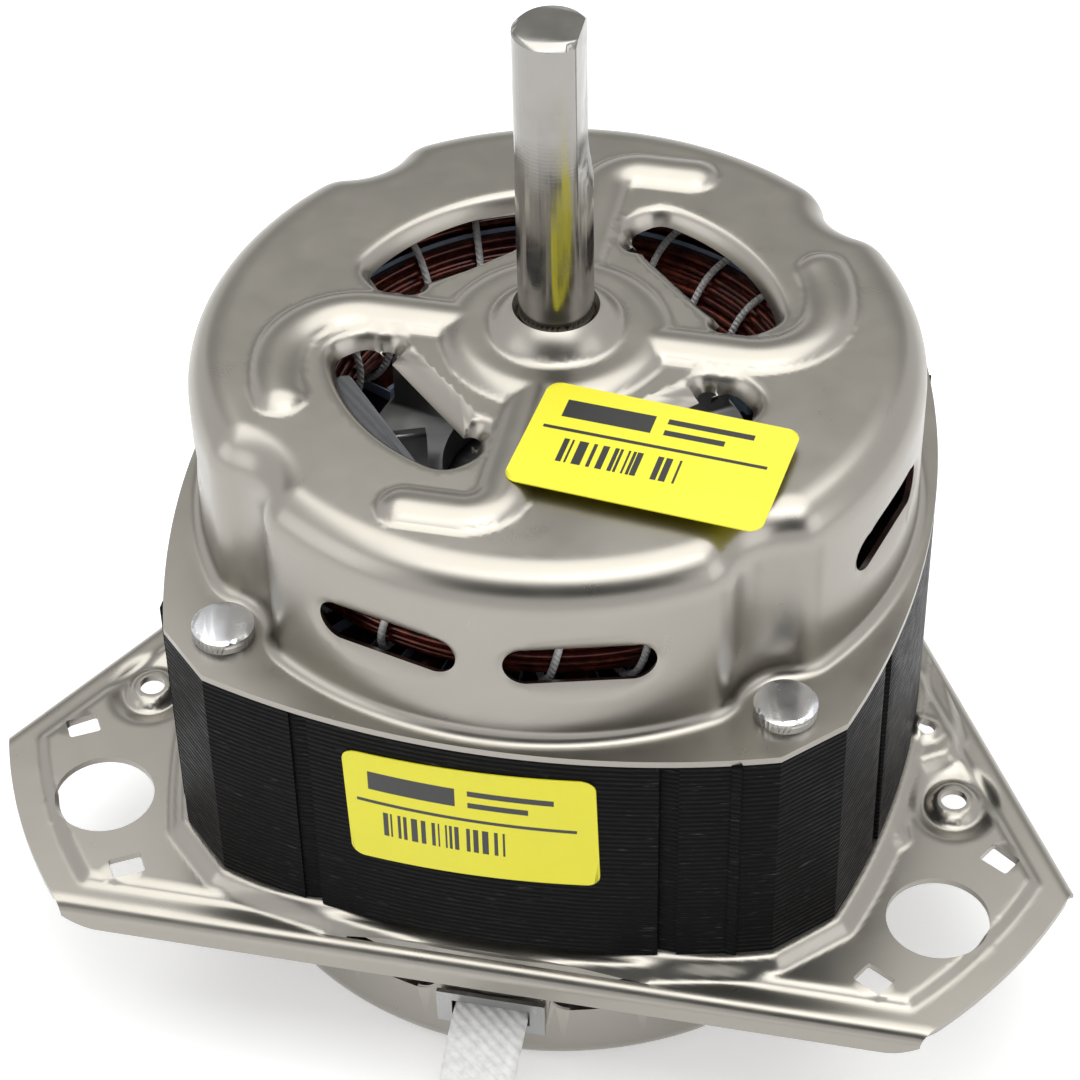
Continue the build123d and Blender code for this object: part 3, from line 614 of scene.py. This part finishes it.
def flat_part(outline, holes, height, pitch, lips):
    """Vertices, in metres, and faces of one flat stretch with holes, lifted to its place."""
    points = sheet_points(outline, holes, pitch, lips)
    flat, edges = [], []
    for loop in (outline, *holes):
        start = len(flat)
        flat += [tuple(p) for p in loop]
        edges += [(start + i, start + (i + 1) % len(loop)) for i in range(len(loop))]
    flat += [tuple(p) for p in points]
    made = geometry.delaunay_2d_cdt([Vector(p) for p in flat], edges, [], 0, MERGE_DISTANCE)
    spots = np.array([tuple(v) for v in made[0]])
    faces = np.array([f for f in made[2] if len(f) == 3])
    middles = spots[faces].mean(axis=1)
    keep = inside(middles, outline)
    for hole in holes:
        keep &= ~inside(middles, hole)
    cells = [list(map(int, f)) for f in faces[keep]]
    return [tuple(p) for p in height(spots) * MM], cells


def finished_sheet(name, vertices, faces, thickness):
    mesh = bpy.data.meshes.new(name)
    mesh.from_pydata(vertices, [], faces)
    piece = bpy.data.objects.new(name, mesh)
    bpy.context.scene.collection.objects.link(piece)
    select_only(piece)
    bpy.ops.object.mode_set(mode="EDIT")
    bpy.ops.mesh.select_all(action="SELECT")
    bpy.ops.mesh.remove_doubles(threshold=MERGE_DISTANCE)
    bpy.ops.mesh.delete_loose()
    bpy.ops.mesh.select_all(action="SELECT")
    bpy.ops.mesh.normals_make_consistent(inside=False)
    bpy.ops.object.mode_set(mode="OBJECT")
    top = max(mesh.polygons, key=lambda p: p.center.z)
    if top.normal.z < 0:
        mesh.flip_normals()
    wall = piece.modifiers.new("Sheet", "SOLIDIFY")
    wall.thickness = thickness * MM
    wall.offset = -1
    bpy.ops.object.modifier_apply(modifier="Sheet")
    bpy.ops.object.shade_smooth_by_angle(angle=SHEET_ANGLE * DEGREE)
    return piece


def core_outline(share=1.0):
    """The lamination stack's outline: four shallow arcs and four cut corners."""
    sagitta = CORE_HALF - CORE_CORNER_X
    radius = (CORE_CORNER_Y**2 + sagitta**2) / (2 * sagitta)
    swing = math.degrees(math.asin(CORE_CORNER_Y / radius))
    side = arc((CORE_HALF - radius, 0), radius, -swing, swing, 40)
    side = np.array(side + [(CORE_CORNER_X, CORE_CORNER_Y)])
    points = []
    for quarter in range(4):
        c, k = round(math.cos(quarter * math.pi / 2)), round(math.sin(quarter * math.pi / 2))
        points += [tuple(p) for p in share * side @ np.array([[c, k], [-k, c]])]
    return points


def around(angle, out, aside=0.0):
    """A point at a distance out along an angle, and aside from it."""
    c, k = math.cos(angle * DEGREE), math.sin(angle * DEGREE)
    return out * c - aside * k, out * k + aside * c


def plate_side(angle, out, level_of):
    """A row of points along one long side of the plate, end to end, in order round the plate."""
    reach = math.hypot(PLATE_REACH, PLATE_HALF)
    half = math.sqrt(reach**2 - out**2)
    places = np.linspace(-half, half, SIDE_POINTS)
    return [(*around(angle, out, t), level_of(half - abs(t))) for t in places]


def plate_inradius():
    reach = math.hypot(PLATE_REACH, PLATE_HALF)
    return reach * math.cos(math.pi / 3 - math.atan2(PLATE_HALF, PLATE_REACH))


def plate_outline():
    """The plate's flat part: arcs at the corners, and long sides that stop at the skirt's bend."""
    reach = math.hypot(PLATE_REACH, PLATE_HALF)
    out = plate_inradius() - SKIRT_BEND
    swing = 60 - math.degrees(math.acos(out / reach))
    points = []
    for corner in range(3):
        middle = 90 + 120 * corner
        points += arc((0, 0), reach, middle - swing, middle + swing, 36)
        points += [p[:2] for p in plate_side(middle + 60, out, lambda near: 0)][:-1]
    return points


def skirt_bands():
    """The bend and the skirt of each long side."""
    border = PLATE_LEVEL - BORDER_DROP
    foot = border - SKIRT_BEND
    bands = []
    for corner in range(3):
        rows = []
        for step in np.linspace(0, math.pi / 2, SKIRT_BEND_ROWS):
            out = plate_inradius() - SKIRT_BEND * (1 - math.sin(step))
            drop = SKIRT_BEND * (1 - math.cos(step))
            rows.append(plate_side(150 + 120 * corner, out, lambda near: border - drop))
        for share in np.linspace(SKIRT_FIRST_ROW, 1, SKIRT_ROWS):
            def level(near):
                rise = max(0.0, 1 - near / SKIRT_END)**2
                return foot - share * (foot - SKIRT_FOOT) * (1 - SKIRT_END_CUT * rise)
            rows.append(plate_side(150 + 120 * corner, plate_inradius(), level))
        bands.append((rows, False))
    return bands


def plate_holes():
    holes = []
    for corner in range(3):
        middle = 90 + 120 * corner
        holes.append(arc(around(middle, HOLE_CIRCLE_R), HOLE_R, 0, 360, 72))
        for sign in (-1, 1):
            a, b = SQUARE_ALONG / 2, SQUARE_ACROSS / 2
            corners = ((-a, -b), (a, -b), (a, b), (-a, b))
            square = [around(middle, HOLE_CIRCLE_R + x, sign * SQUARE_OFFSET + y)
                      for x, y in corners]
            loop = []
            for i in range(4):
                loop += eased(square[i - 1], square[i], square[(i + 1) % 4], SQUARE_CORNER, 4)
            holes.append(loop)
    holes += [arc(place, DIMPLE_R, 0, 360, 32) for place in DIMPLES]
    holes.append(arc(SCREW_HOLE, SCREW_HOLE_R, 0, 360, 24))
    return holes


def smooth(value, start, end):
    """0 before start and 1 after end, with a soft step between."""
    t = np.clip((value - start) / (end - start), 0, 1)
    return t * t * (3 - 2 * t)


def plate_height(spots):
    """Level of the plate at each point: pads, border, dishes and the core's seat."""
    r = np.linalg.norm(spots, axis=1)
    inner = math.hypot(PLATE_REACH, PLATE_HALF) - BORDER_WIDTH - r
    for corner in range(3):
        normal = np.array(around(150 + 120 * corner, 1.0))
        inner = np.minimum(inner, plate_inradius() - BORDER_WIDTH - spots @ normal)
    level = PLATE_LEVEL - BORDER_DROP * (1 - smooth(inner, 0, BORDER_STEP))
    for place in DIMPLES:
        near = np.linalg.norm((spots - place) * DISH_STRETCH, axis=1)
        level -= DISH_DEPTH * (1 - smooth(near, *DISH_EDGE))
        level += DISH_COLLAR * (1 - smooth(near, *DISH_COLLAR_EDGE))
    near = np.linalg.norm(spots - SCREW_HOLE, axis=1)
    level += SCREW_COLLAR * (1 - smooth(near, *SCREW_COLLAR_EDGE))
    core = core_outline()
    beyond = np.where(inside(spots, core), 0, distance_to(spots, core, True))
    apron = np.where(inside(spots, APRON), 0, distance_to(spots, APRON, True))
    seat = SEAT_RISE * (1 - smooth(beyond, *SEAT_EDGE))
    rise = np.maximum(seat, APRON_RISE * (1 - smooth(apron, *APRON_EDGE)))
    return lifted(spots, level + np.minimum(rise, SEAT_RISE))


def crest(depth, half, height):
    """Height of a round-shouldered step, by the distance in from its edge."""
    radius = (half**2 + height**2) / (2 * height)
    inner = np.clip(half - depth, 0, half)
    return np.where(depth <= 0, 0, np.sqrt(radius**2 - inner**2) - (radius - height))


def cover_height(spots):
    """Level of the upper cover's face at each point."""
    r = np.linalg.norm(spots, axis=1)
    rise = crest(HUB_R - r, RIB_HALF, EMBOSS)
    for line in rib_lines():
        rise = np.maximum(rise, crest(RIB_HALF - distance_to(spots, line, False), RIB_HALF, EMBOSS))
    level = FACE_LEVEL + rise
    boss = BOSS_CENTRE + np.sqrt(np.clip(BOSS_R**2 - r**2, 0, None))
    gap = np.clip(BOSS_FILLET - np.abs(boss - level), 0, None)
    level = np.where(r < BOSS_R, np.maximum(boss, level) + gap**2 / (4 * BOSS_FILLET), level)
    for turn in range(4):
        near = distance_to(spots, window_outline((45 + 90 * turn) * DEGREE), True)
        level -= LIP_DEPTH * np.clip(1 - near / LIP_WIDTH, 0, 1)**2
    return lifted(spots, level)


def lifted(spots, level):
    return np.column_stack([spots, np.broadcast_to(level, len(spots))])


def wall_measure():
    """The dome's outline, and how far along it each of its points is."""
    loop = np.array(cover_outline(0) + cover_outline(0)[:1])
    return loop, np.concatenate([[0], np.cumsum(np.linalg.norm(np.diff(loop, axis=0), axis=1))])


def wall_outline(low, high):
    """The wall laid out flat, with a point for each of the outline's."""
    along = wall_measure()[1]
    heights = np.linspace(low, high, WALL_LEVELS)
    points = [(s, low) for s in along[:-1]] + [(along[-1], z) for z in heights[:-1]]
    return points + [(s, high) for s in along[:0:-1]] + [(0, z) for z in heights[:0:-1]]


def wall_place(spots):
    """Wraps the flat wall round the dome, a little dished in at its slots."""
    loop, along = wall_measure()
    x, y = (np.interp(spots[:, 0], along, loop[:, i]) for i in (0, 1))
    inward = np.zeros(len(spots))
    for slot in wall_slots():
        near = distance_to(spots, slot, True) / SLOT_LIP_WIDTH
        inward = np.maximum(inward, SLOT_LIP * np.clip(1 - near, 0, 1)**2)
    r = np.hypot(x, y)
    return np.column_stack([x * (1 - inward / r), y * (1 - inward / r), spots[:, 1]])


def wall_slots():
    """The eight cooling slots, on the flat wall."""
    loop, along = wall_measure()
    angles = np.degrees(np.unwrap(np.arctan2(loop[:, 1], loop[:, 0])))
    r = SLOT_HEIGHT / 2
    slots = []
    for side in range(4):
        for sign in (-1, 1):
            ends = sorted(90 * side + sign * a for a in (SLOT_START, SLOT_END))
            ends = [a + 360 if a < angles[0] else a for a in ends]
            start, end = (np.interp(a, angles, along) for a in ends)
            slot = arc((end - r, SLOT_LEVEL), r, -90, 90, 14) + [(end - r, SLOT_LEVEL + r)]
            slot += arc((start + r, SLOT_LEVEL), r, 90, 270, 14) + [(start + r, SLOT_LEVEL - r)]
            slots.append(slot)
    return slots


# Pieces
def select_only(piece):
    bpy.ops.object.select_all(action="DESELECT")
    piece.select_set(True)
    bpy.context.view_layer.objects.active = piece


def clean_copy(node, name, angle):
    """A merged, smooth-shaded copy of a solid's mesh."""
    piece = bpy.data.objects.new(name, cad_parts[node].data.copy())
    bpy.context.scene.collection.objects.link(piece)
    piece.data.materials.clear()
    select_only(piece)
    bpy.ops.object.mode_set(mode="EDIT")
    bpy.ops.mesh.select_all(action="SELECT")
    bpy.ops.mesh.remove_doubles(threshold=COPY_MERGE_DISTANCE)
    bpy.ops.object.mode_set(mode="OBJECT")
    bpy.ops.object.shade_smooth_by_angle(angle=angle * DEGREE)
    even_normals(piece)
    return piece


def keep_inside(piece, loop, low, high):
    """Keeps only what lies in an upright prism."""
    count = len(loop)
    vertices = [(x * MM, y * MM, z * MM) for z in (low, high) for x, y in loop]
    faces = [list(reversed(range(count))), list(range(count, 2 * count))]
    faces += [[i, (i + 1) % count, count + (i + 1) % count, count + i] for i in range(count)]
    mesh = bpy.data.meshes.new("cutter")
    mesh.from_pydata(vertices, [], faces)
    cutter = bpy.data.objects.new("cutter", mesh)
    bpy.context.scene.collection.objects.link(cutter)
    select_only(piece)
    cut = piece.modifiers.new("Cut", "BOOLEAN")
    cut.operation = "INTERSECT"
    cut.solver = "EXACT"
    cut.object = cutter
    bpy.ops.object.modifier_apply(modifier="Cut")
    bpy.data.objects.remove(cutter)
    even_normals(piece)


def even_normals(piece):
    """Shades flat faces flat and bends smooth."""
    select_only(piece)
    even = piece.modifiers.new("Even", "WEIGHTED_NORMAL")
    even.keep_sharp = True
    even.weight = 100
    bpy.ops.object.modifier_apply(modifier="Even")


def settle(piece, material, body, node):
    """Gives a piece its finish and body, and the place of its solid."""
    piece.data.materials.append(material)
    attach(piece, body)
    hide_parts(node)
    return piece


def dressed_copy(node, name, material, body, angle=FLAT_ANGLE):
    """A solid's own form with its real finish."""
    return settle(clean_copy(node, name, angle), material, body, node)


class MOTOR_OT_upper_cover(bpy.types.Operator):
    """Make the upper cover: a pressed dome with hooked ribs, lipped windows and a boss"""

    bl_idname = "motor.upper_cover"
    bl_label = "Upper cover"

    def execute(self, context):
        steel = plated_steel(context.scene.motor_finishes)
        bend_level = FACE_LEVEL - BEND_R
        bend, foot = [], []
        for step in np.linspace(0, math.pi / 2, BEND_ROWS):
            level = bend_level + BEND_R * math.sin(step)
            ring = cover_outline(BEND_R * (1 - math.cos(step)))
            bend.append([(x, y, level) for x, y in ring])
            level = FLANGE_LEVEL + FLANGE_BEND * (1 - math.sin(step))
            ring = cover_outline(FLANGE_BEND * (math.cos(step) - 1))
            foot.append([(x, y, level) for x, y in ring])
        holes = [window_outline((45 + 90 * turn) * DEGREE) for turn in range(4)]
        holes.append(arc((0, 0), BOSS_MOUTH, 0, 360, BOSS_POINTS))
        cover = panel_mesh("upper_cover_pressing", cover_outline(BEND_R), holes, cover_height, PANEL_PITCH,
                           FACE_ROWS, [(bend, True), (foot, True)], SHEET, self.wall(bend_level),
                           self.flange())
        settle(cover, steel, HOUSING, "upper_cover")
        finishes["steel"] = steel
        return {"FINISHED"}

    def wall(self, top):
        outline = wall_outline(FLANGE_LEVEL + FLANGE_BEND, top)
        return outline, wall_slots(), wall_place, WALL_PITCH, WALL_ROWS

    def flange(self):
        holes = [cover_outline(-FLANGE_BEND)]
        for x in (-RIVET_PLACE, RIVET_PLACE):
            holes += [arc((x, y), RIVET_HOLE_R, 0, 360, 24) for y in (-RIVET_PLACE, RIVET_PLACE)]
        return core_outline(), holes, lambda spots: lifted(spots, FLANGE_LEVEL), FLANGE_PITCH, ()


class MOTOR_OT_lower_cover(bpy.types.Operator):
    """Make the lower cover with its three-cornered mounting plate"""

    bl_idname = "motor.lower_cover"
    bl_label = "Lower cover and plate"

    def execute(self, context):
        steel = finishes["steel"]
        holes = [core_outline(PLATE_OPENING), *plate_holes()]
        plate = panel_mesh("mounting_plate", plate_outline(), holes, plate_height, PANEL_PITCH,
                           PLATE_ROWS, skirt_bands(), SHEET)
        settle(plate, steel, HOUSING, "lower_cover")
        dome = clean_copy("lower_cover", "lower_cover_dome", FLAT_ANGLE)
        keep_inside(dome, core_outline(DOME_SHARE), -SHEET, PLATE_LEVEL + 2 * SHEET)
        settle(dome, steel, HOUSING, "lower_cover")
        return {"FINISHED"}


class MOTOR_OT_core(bpy.types.Operator):
    """Make the lamination stack, the rotor core and the rotor's cage"""

    bl_idname = "motor.core"
    bl_label = "Lamination stacks"

    def execute(self, context):
        lacquer = lacquered_core(context.scene.motor_finishes)
        dressed_copy("stator_core", "lamination_stack", lacquer, HOUSING, CORE_ANGLE)
        laminated = bare_metal("Ground laminations", (0.12, 0.12, 0.125), 0.4, 0.001)
        dressed_copy("rotor_core", "rotor_stack", laminated, ROTOR)
        cast = bare_metal("Cast aluminium", (0.4, 0.4, 0.41), 0.5, 0.004, "X", 0.00006)
        dressed_copy("rotor_cage", "rotor_bars", cast, ROTOR)
        return {"FINISHED"}


class MOTOR_OT_windings(bpy.types.Operator):
    """Make the windings, their turns, lacing and insulation, and the thermal protector"""

    bl_idname = "motor.windings"
    bl_label = "Windings"

    def execute(self, context):
        settings = context.scene.motor_finishes
        copper = enamelled_copper(settings)
        for node, name in (("main_winding", "main_coils"), ("auxiliary_winding", "auxiliary_coils"),
                           ("upper_main_turns", "upper_main_wires"),
                           ("upper_auxiliary_turns", "upper_auxiliary_wires"),
                           ("lower_main_turns", "lower_main_wires"),
                           ("lower_auxiliary_turns", "lower_auxiliary_wires")):
            dressed_copy(node, name, copper, HOUSING, ROUND_ANGLE)
        cord = soft_cord("Lacing cord", settings.cord, 0.0006)
        for node in ("upper_lacing", "lower_lacing"):
            dressed_copy(node, node + "_cord", cord, HOUSING, ROUND_ANGLE)
        film = moulded("Insulation film", settings.film, 0.35)
        for node, name in (("slot_liners", "slot_paper"), ("slot_wedges", "slot_strips"),
                           ("phase_insulation", "phase_paper")):
            dressed_copy(node, name, film, HOUSING)
        sleeve = soft_cord("Grey sleeving", (0.06, 0.063, 0.07), 0.0009)
        dressed_copy("thermal_protector", "protector_body", sleeve, HOUSING)
        wire = moulded("White wire", (0.74, 0.74, 0.72), 0.4)
        dressed_copy("protector_leads", "protector_wires", wire, HOUSING, ROUND_ANGLE)
        return {"FINISHED"}


class MOTOR_OT_bearings(bpy.types.Operator):
    """Make the shaft, its bushes, felts, retainers, collars and clips"""

    bl_idname = "motor.bearings"
    bl_label = "Shaft and bushes"

    def execute(self, context):
        ground = bare_metal("Ground shaft steel", (0.34, 0.328, 0.31), 0.18, 0.0007, "Z", 0.000002)
        dressed_copy("shaft", "shaft_bar", ground, ROTOR)
        spring = bare_metal("Spring steel", (0.42, 0.42, 0.42), 0.3, 0.002, "X")
        dressed_copy("shaft_circlips", "circlip_pair", spring, ROTOR)
        for node in ("upper_bush_retainer", "lower_bush_retainer", "lower_bush_seat", "lead_clip"):
            dressed_copy(node, node + "_pressing", spring, HOUSING)
        bronze = bare_metal("Oiled bronze", (0.42, 0.27, 0.12), 0.45, 0.0012, "X")
        felt = soft_cord("Oiled felt", (0.3, 0.25, 0.15), 0.0012)
        nylon = moulded("Collar nylon", (0.62, 0.59, 0.5), 0.45)
        for end in ("upper_", "lower_"):
            for node, name, material, slot, body in (
                    ("bush", "bronze_bush", bronze, "sintered_bronze", HOUSING),
                    ("oil_felt", "felt_ring", felt, "oil_felt", HOUSING),
                    ("thrust_collar", "nylon_collar", nylon, "thrust_plastic", ROTOR)):
                dressed_copy(end + node, end + name, material, body)
        zinc = bare_metal("Zinc plate", (0.66, 0.67, 0.69), 0.22, 0.003, "X")
        dressed_copy("through_rivets", "rivet_set", zinc, HOUSING)
        return {"FINISHED"}


class MOTOR_OT_labels(bpy.types.Operator):
    """Make the two plain yellow labels"""

    bl_idname = "motor.labels"
    bl_label = "Labels"

    def execute(self, context):
        settings = context.scene.motor_finishes
        x, z, tilt = FRONT_LABEL
        front = printed_label(settings, "Front label", (x, 0, z), (0, tilt * DEGREE, 0), True)
        dressed_copy("front_label", "front_sticker", front, HOUSING)
        x, y, turn = TOP_LABEL
        top = printed_label(settings, "Top label", (x, y, 0), (0, 0, turn * DEGREE))
        dressed_copy("top_label", "top_sticker", top, HOUSING)
        return {"FINISHED"}


class MOTOR_OT_lead(bpy.types.Operator):
    """Make the flat woven lead and its connector"""

    bl_idname = "motor.lead"
    bl_label = "Lead"

    def execute(self, context):
        line = bpy.data.curves.new("woven_sleeve", "CURVE")
        line.dimensions = "3D"
        line.twist_mode = "Z_UP"
        line.bevel_depth = SLEEVE_THICKNESS / 2 * MM
        line.bevel_resolution = 4
        line.extrude = (SLEEVE_WIDTH - SLEEVE_THICKNESS) / 2 * MM
        line.use_fill_caps = True
        line.resolution_u = 24
        spline = line.splines.new("NURBS")
        spline.points.add(len(LEAD_ROUTE) - 1)
        for point, place in zip(spline.points, LEAD_ROUTE):
            point.co = (*(c * MM for c in place), 1)
            point.tilt = math.pi / 2
        spline.order_u = 3
        spline.use_endpoint_u = True
        sleeve = bpy.data.objects.new("woven_sleeve", line)
        context.scene.collection.objects.link(sleeve)
        weave = soft_cord("White woven sleeve", (0.94, 0.94, 0.93), 0.0012)
        settle(sleeve, weave, HOUSING, "lead_sleeve")
        nylon = moulded("Connector nylon", (0.76, 0.75, 0.7), 0.42)
        plug = dressed_copy("lead_connector", "connector_shell", nylon, HOUSING)
        return {"FINISHED"}


class MOTOR_OT_stage(bpy.types.Operator):
    """Set up the camera, the soft studio lights and the pale floor"""

    bl_idname = "motor.stage"
    bl_label = "Studio"

    def execute(self, context):
        scene = context.scene
        settings = scene.motor_stage
        scene.view_settings.view_transform = "Standard"
        self.add_camera(scene)
        self.add_world(scene)
        self.add_lights(scene, settings)
        self.add_cards()
        self.add_floor(settings)
        return {"FINISHED"}

    def add_camera(self, scene):
        a, e, roll = (x * DEGREE for x in (CAMERA_AZIMUTH, CAMERA_ELEVATION, CAMERA_ROLL))
        back = Vector((math.sin(a) * math.cos(e), -math.cos(a) * math.cos(e), math.sin(e)))
        level = Vector((math.cos(a), math.sin(a), 0))
        upright = back.cross(level)
        right = math.cos(roll) * level + math.sin(roll) * upright
        up = math.cos(roll) * upright - math.sin(roll) * level
        eye = CAMERA_RIGHT * right + CAMERA_UP * up + CAMERA_BACK * back
        eye.z += CAMERA_LEVEL
        camera = bpy.data.objects.new("Camera", bpy.data.cameras.new("Camera"))
        camera.data.lens = CAMERA_LENS
        camera.data.sensor_width = SENSOR_WIDTH
        camera.data.clip_start = 0.01
        placed = Matrix((right, up, back)).transposed().to_4x4()
        placed.translation = eye * MM
        camera.matrix_world = placed
        scene.collection.objects.link(camera)
        scene.camera = camera

    def add_world(self, scene):
        world = bpy.data.worlds.new("Studio")
        world.use_nodes = True
        nodes, links = world.node_tree.nodes, world.node_tree.links
        backdrop = nodes["Background"]
        backdrop.inputs["Color"].default_value = (1, 1, 1, 1)
        path = nodes.new("ShaderNodeLightPath")
        seen = path.outputs["Is Camera Ray"]
        for ray in ("Is Glossy Ray", "Is Transmission Ray"):
            either = nodes.new("ShaderNodeMath")
            either.operation = "MAXIMUM"
            links.new(seen, either.inputs[0])
            links.new(path.outputs[ray], either.inputs[1])
            seen = either.outputs[0]
        strength = nodes.new("ShaderNodeMapRange")
        strength.inputs["To Min"].default_value = WORLD_LIGHT
        links.new(seen, strength.inputs["Value"])
        links.new(strength.outputs[0], backdrop.inputs["Strength"])
        scene.world = world

    def add_lights(self, scene, settings):
        for name, place, size, power in SOFTBOXES:
            lamp = bpy.data.lights.new(name, "AREA")
            lamp.shape = "SQUARE"
            lamp.size = size
            lamp.energy = getattr(settings, power)
            holder = bpy.data.objects.new(name, lamp)
            holder.location = place
            holder.rotation_mode = "QUATERNION"
            aim = Vector(SOFTBOX_AIM) - Vector(place)
            holder.rotation_quaternion = aim.to_track_quat("-Z", "Y")
            scene.collection.objects.link(holder)

    def add_cards(self):
        """Grey, white and black cards that only the metal's reflections see."""
        for name, azimuth, elevation, far, width, height, grey in CARDS:
            a, e = azimuth * DEGREE, elevation * DEGREE
            out = Vector((math.sin(a) * math.cos(e), -math.cos(a) * math.cos(e), math.sin(e)))
            across = Vector((math.cos(a), math.sin(a), 0)) * width / 2
            up = out.cross(across).normalized() * height / 2
            middle = out * far + Vector(CARD_AIM)
            corners = [middle - across - up, middle + across - up,
                       middle + across + up, middle - across + up]
            mesh = bpy.data.meshes.new(name)
            mesh.from_pydata([tuple(c) for c in corners], [], [(0, 1, 2, 3)])
            card = bpy.data.objects.new(name, mesh)
            bpy.context.scene.collection.objects.link(card)
            card.visible_camera = card.visible_diffuse = False
            card.visible_shadow = card.visible_transmission = False
            finish = Finish(name, (0, 0, 0), 1.0, Specular_IOR_Level=0.0, Emission_Strength=1.0)
            glow = (grey, grey, grey * CARD_WARMTH, 1)
            finish.shader.inputs["Emission Color"].default_value = glow
            mesh.materials.append(finish.material)

    def add_floor(self, settings):
        bpy.ops.object.select_all(action="DESELECT")
        bpy.ops.mesh.primitive_plane_add(size=settings.floor_size, location=(0, 0, cad_low.z))
        floor = bpy.context.object
        floor.name = "Floor"
        finish = Finish("Pale floor", (0.93, 0.93, 0.93), 0.9)
        patches = finish.spread(finish.noise(scale=3, detail=2), low=0.3, high=0.8, out_high=0.2)
        finish.tint(patches, (0.9, 0.9, 0.9))
        path = finish.nodes.new("ShaderNodeLightPath")
        finish.shader.inputs["Emission Color"].default_value = (1, 1, 1, 1)
        seen = path.outputs["Is Camera Ray"]
        for ray in ("Is Glossy Ray", "Is Transmission Ray"):
            seen = finish.maths("MAXIMUM", seen, path.outputs[ray])
        glow = finish.maths("MULTIPLY", seen, FLOOR_GLOW)
        finish.link(glow, finish.shader.inputs["Emission Strength"])
        floor.data.materials.append(finish.material)


class MOTOR_PT_panel(bpy.types.Panel):
    bl_idname = "MOTOR_PT_panel"
    bl_label = "Washing machine motor"
    bl_space_type = "VIEW_3D"
    bl_region_type = "UI"
    bl_category = "Motor"

    def draw(self, context):
        for settings in (context.scene.motor_finishes, context.scene.motor_stage):
            for name in settings.bl_rna.properties.keys():
                if name not in ("rna_type", "name"):
                    self.layout.prop(settings, name)
        for operator in OPERATORS:
            self.layout.operator(operator.bl_idname)


OPERATORS = (
    MOTOR_OT_stage, MOTOR_OT_lead, MOTOR_OT_upper_cover, MOTOR_OT_lower_cover,
    MOTOR_OT_core, MOTOR_OT_windings, MOTOR_OT_bearings, MOTOR_OT_labels,
)
CLASSES = (MOTOR_PG_finishes, MOTOR_PG_stage, *OPERATORS, MOTOR_PT_panel)


def register():
    for cls in CLASSES:
        bpy.utils.register_class(cls)
    bpy.types.Scene.motor_finishes = bpy.props.PointerProperty(type=MOTOR_PG_finishes)
    bpy.types.Scene.motor_stage = bpy.props.PointerProperty(type=MOTOR_PG_stage)


def unregister():
    del bpy.types.Scene.motor_stage
    del bpy.types.Scene.motor_finishes
    for cls in reversed(CLASSES):
        bpy.utils.unregister_class(cls)


def main():
    register()
    bpy.ops.motor.stage()
    bpy.ops.motor.lead()
    bpy.ops.motor.upper_cover()
    bpy.ops.motor.lower_cover()
    bpy.ops.motor.core()
    bpy.ops.motor.windings()
    bpy.ops.motor.bearings()
    bpy.ops.motor.labels()


if __name__ == "__main__":
    main()
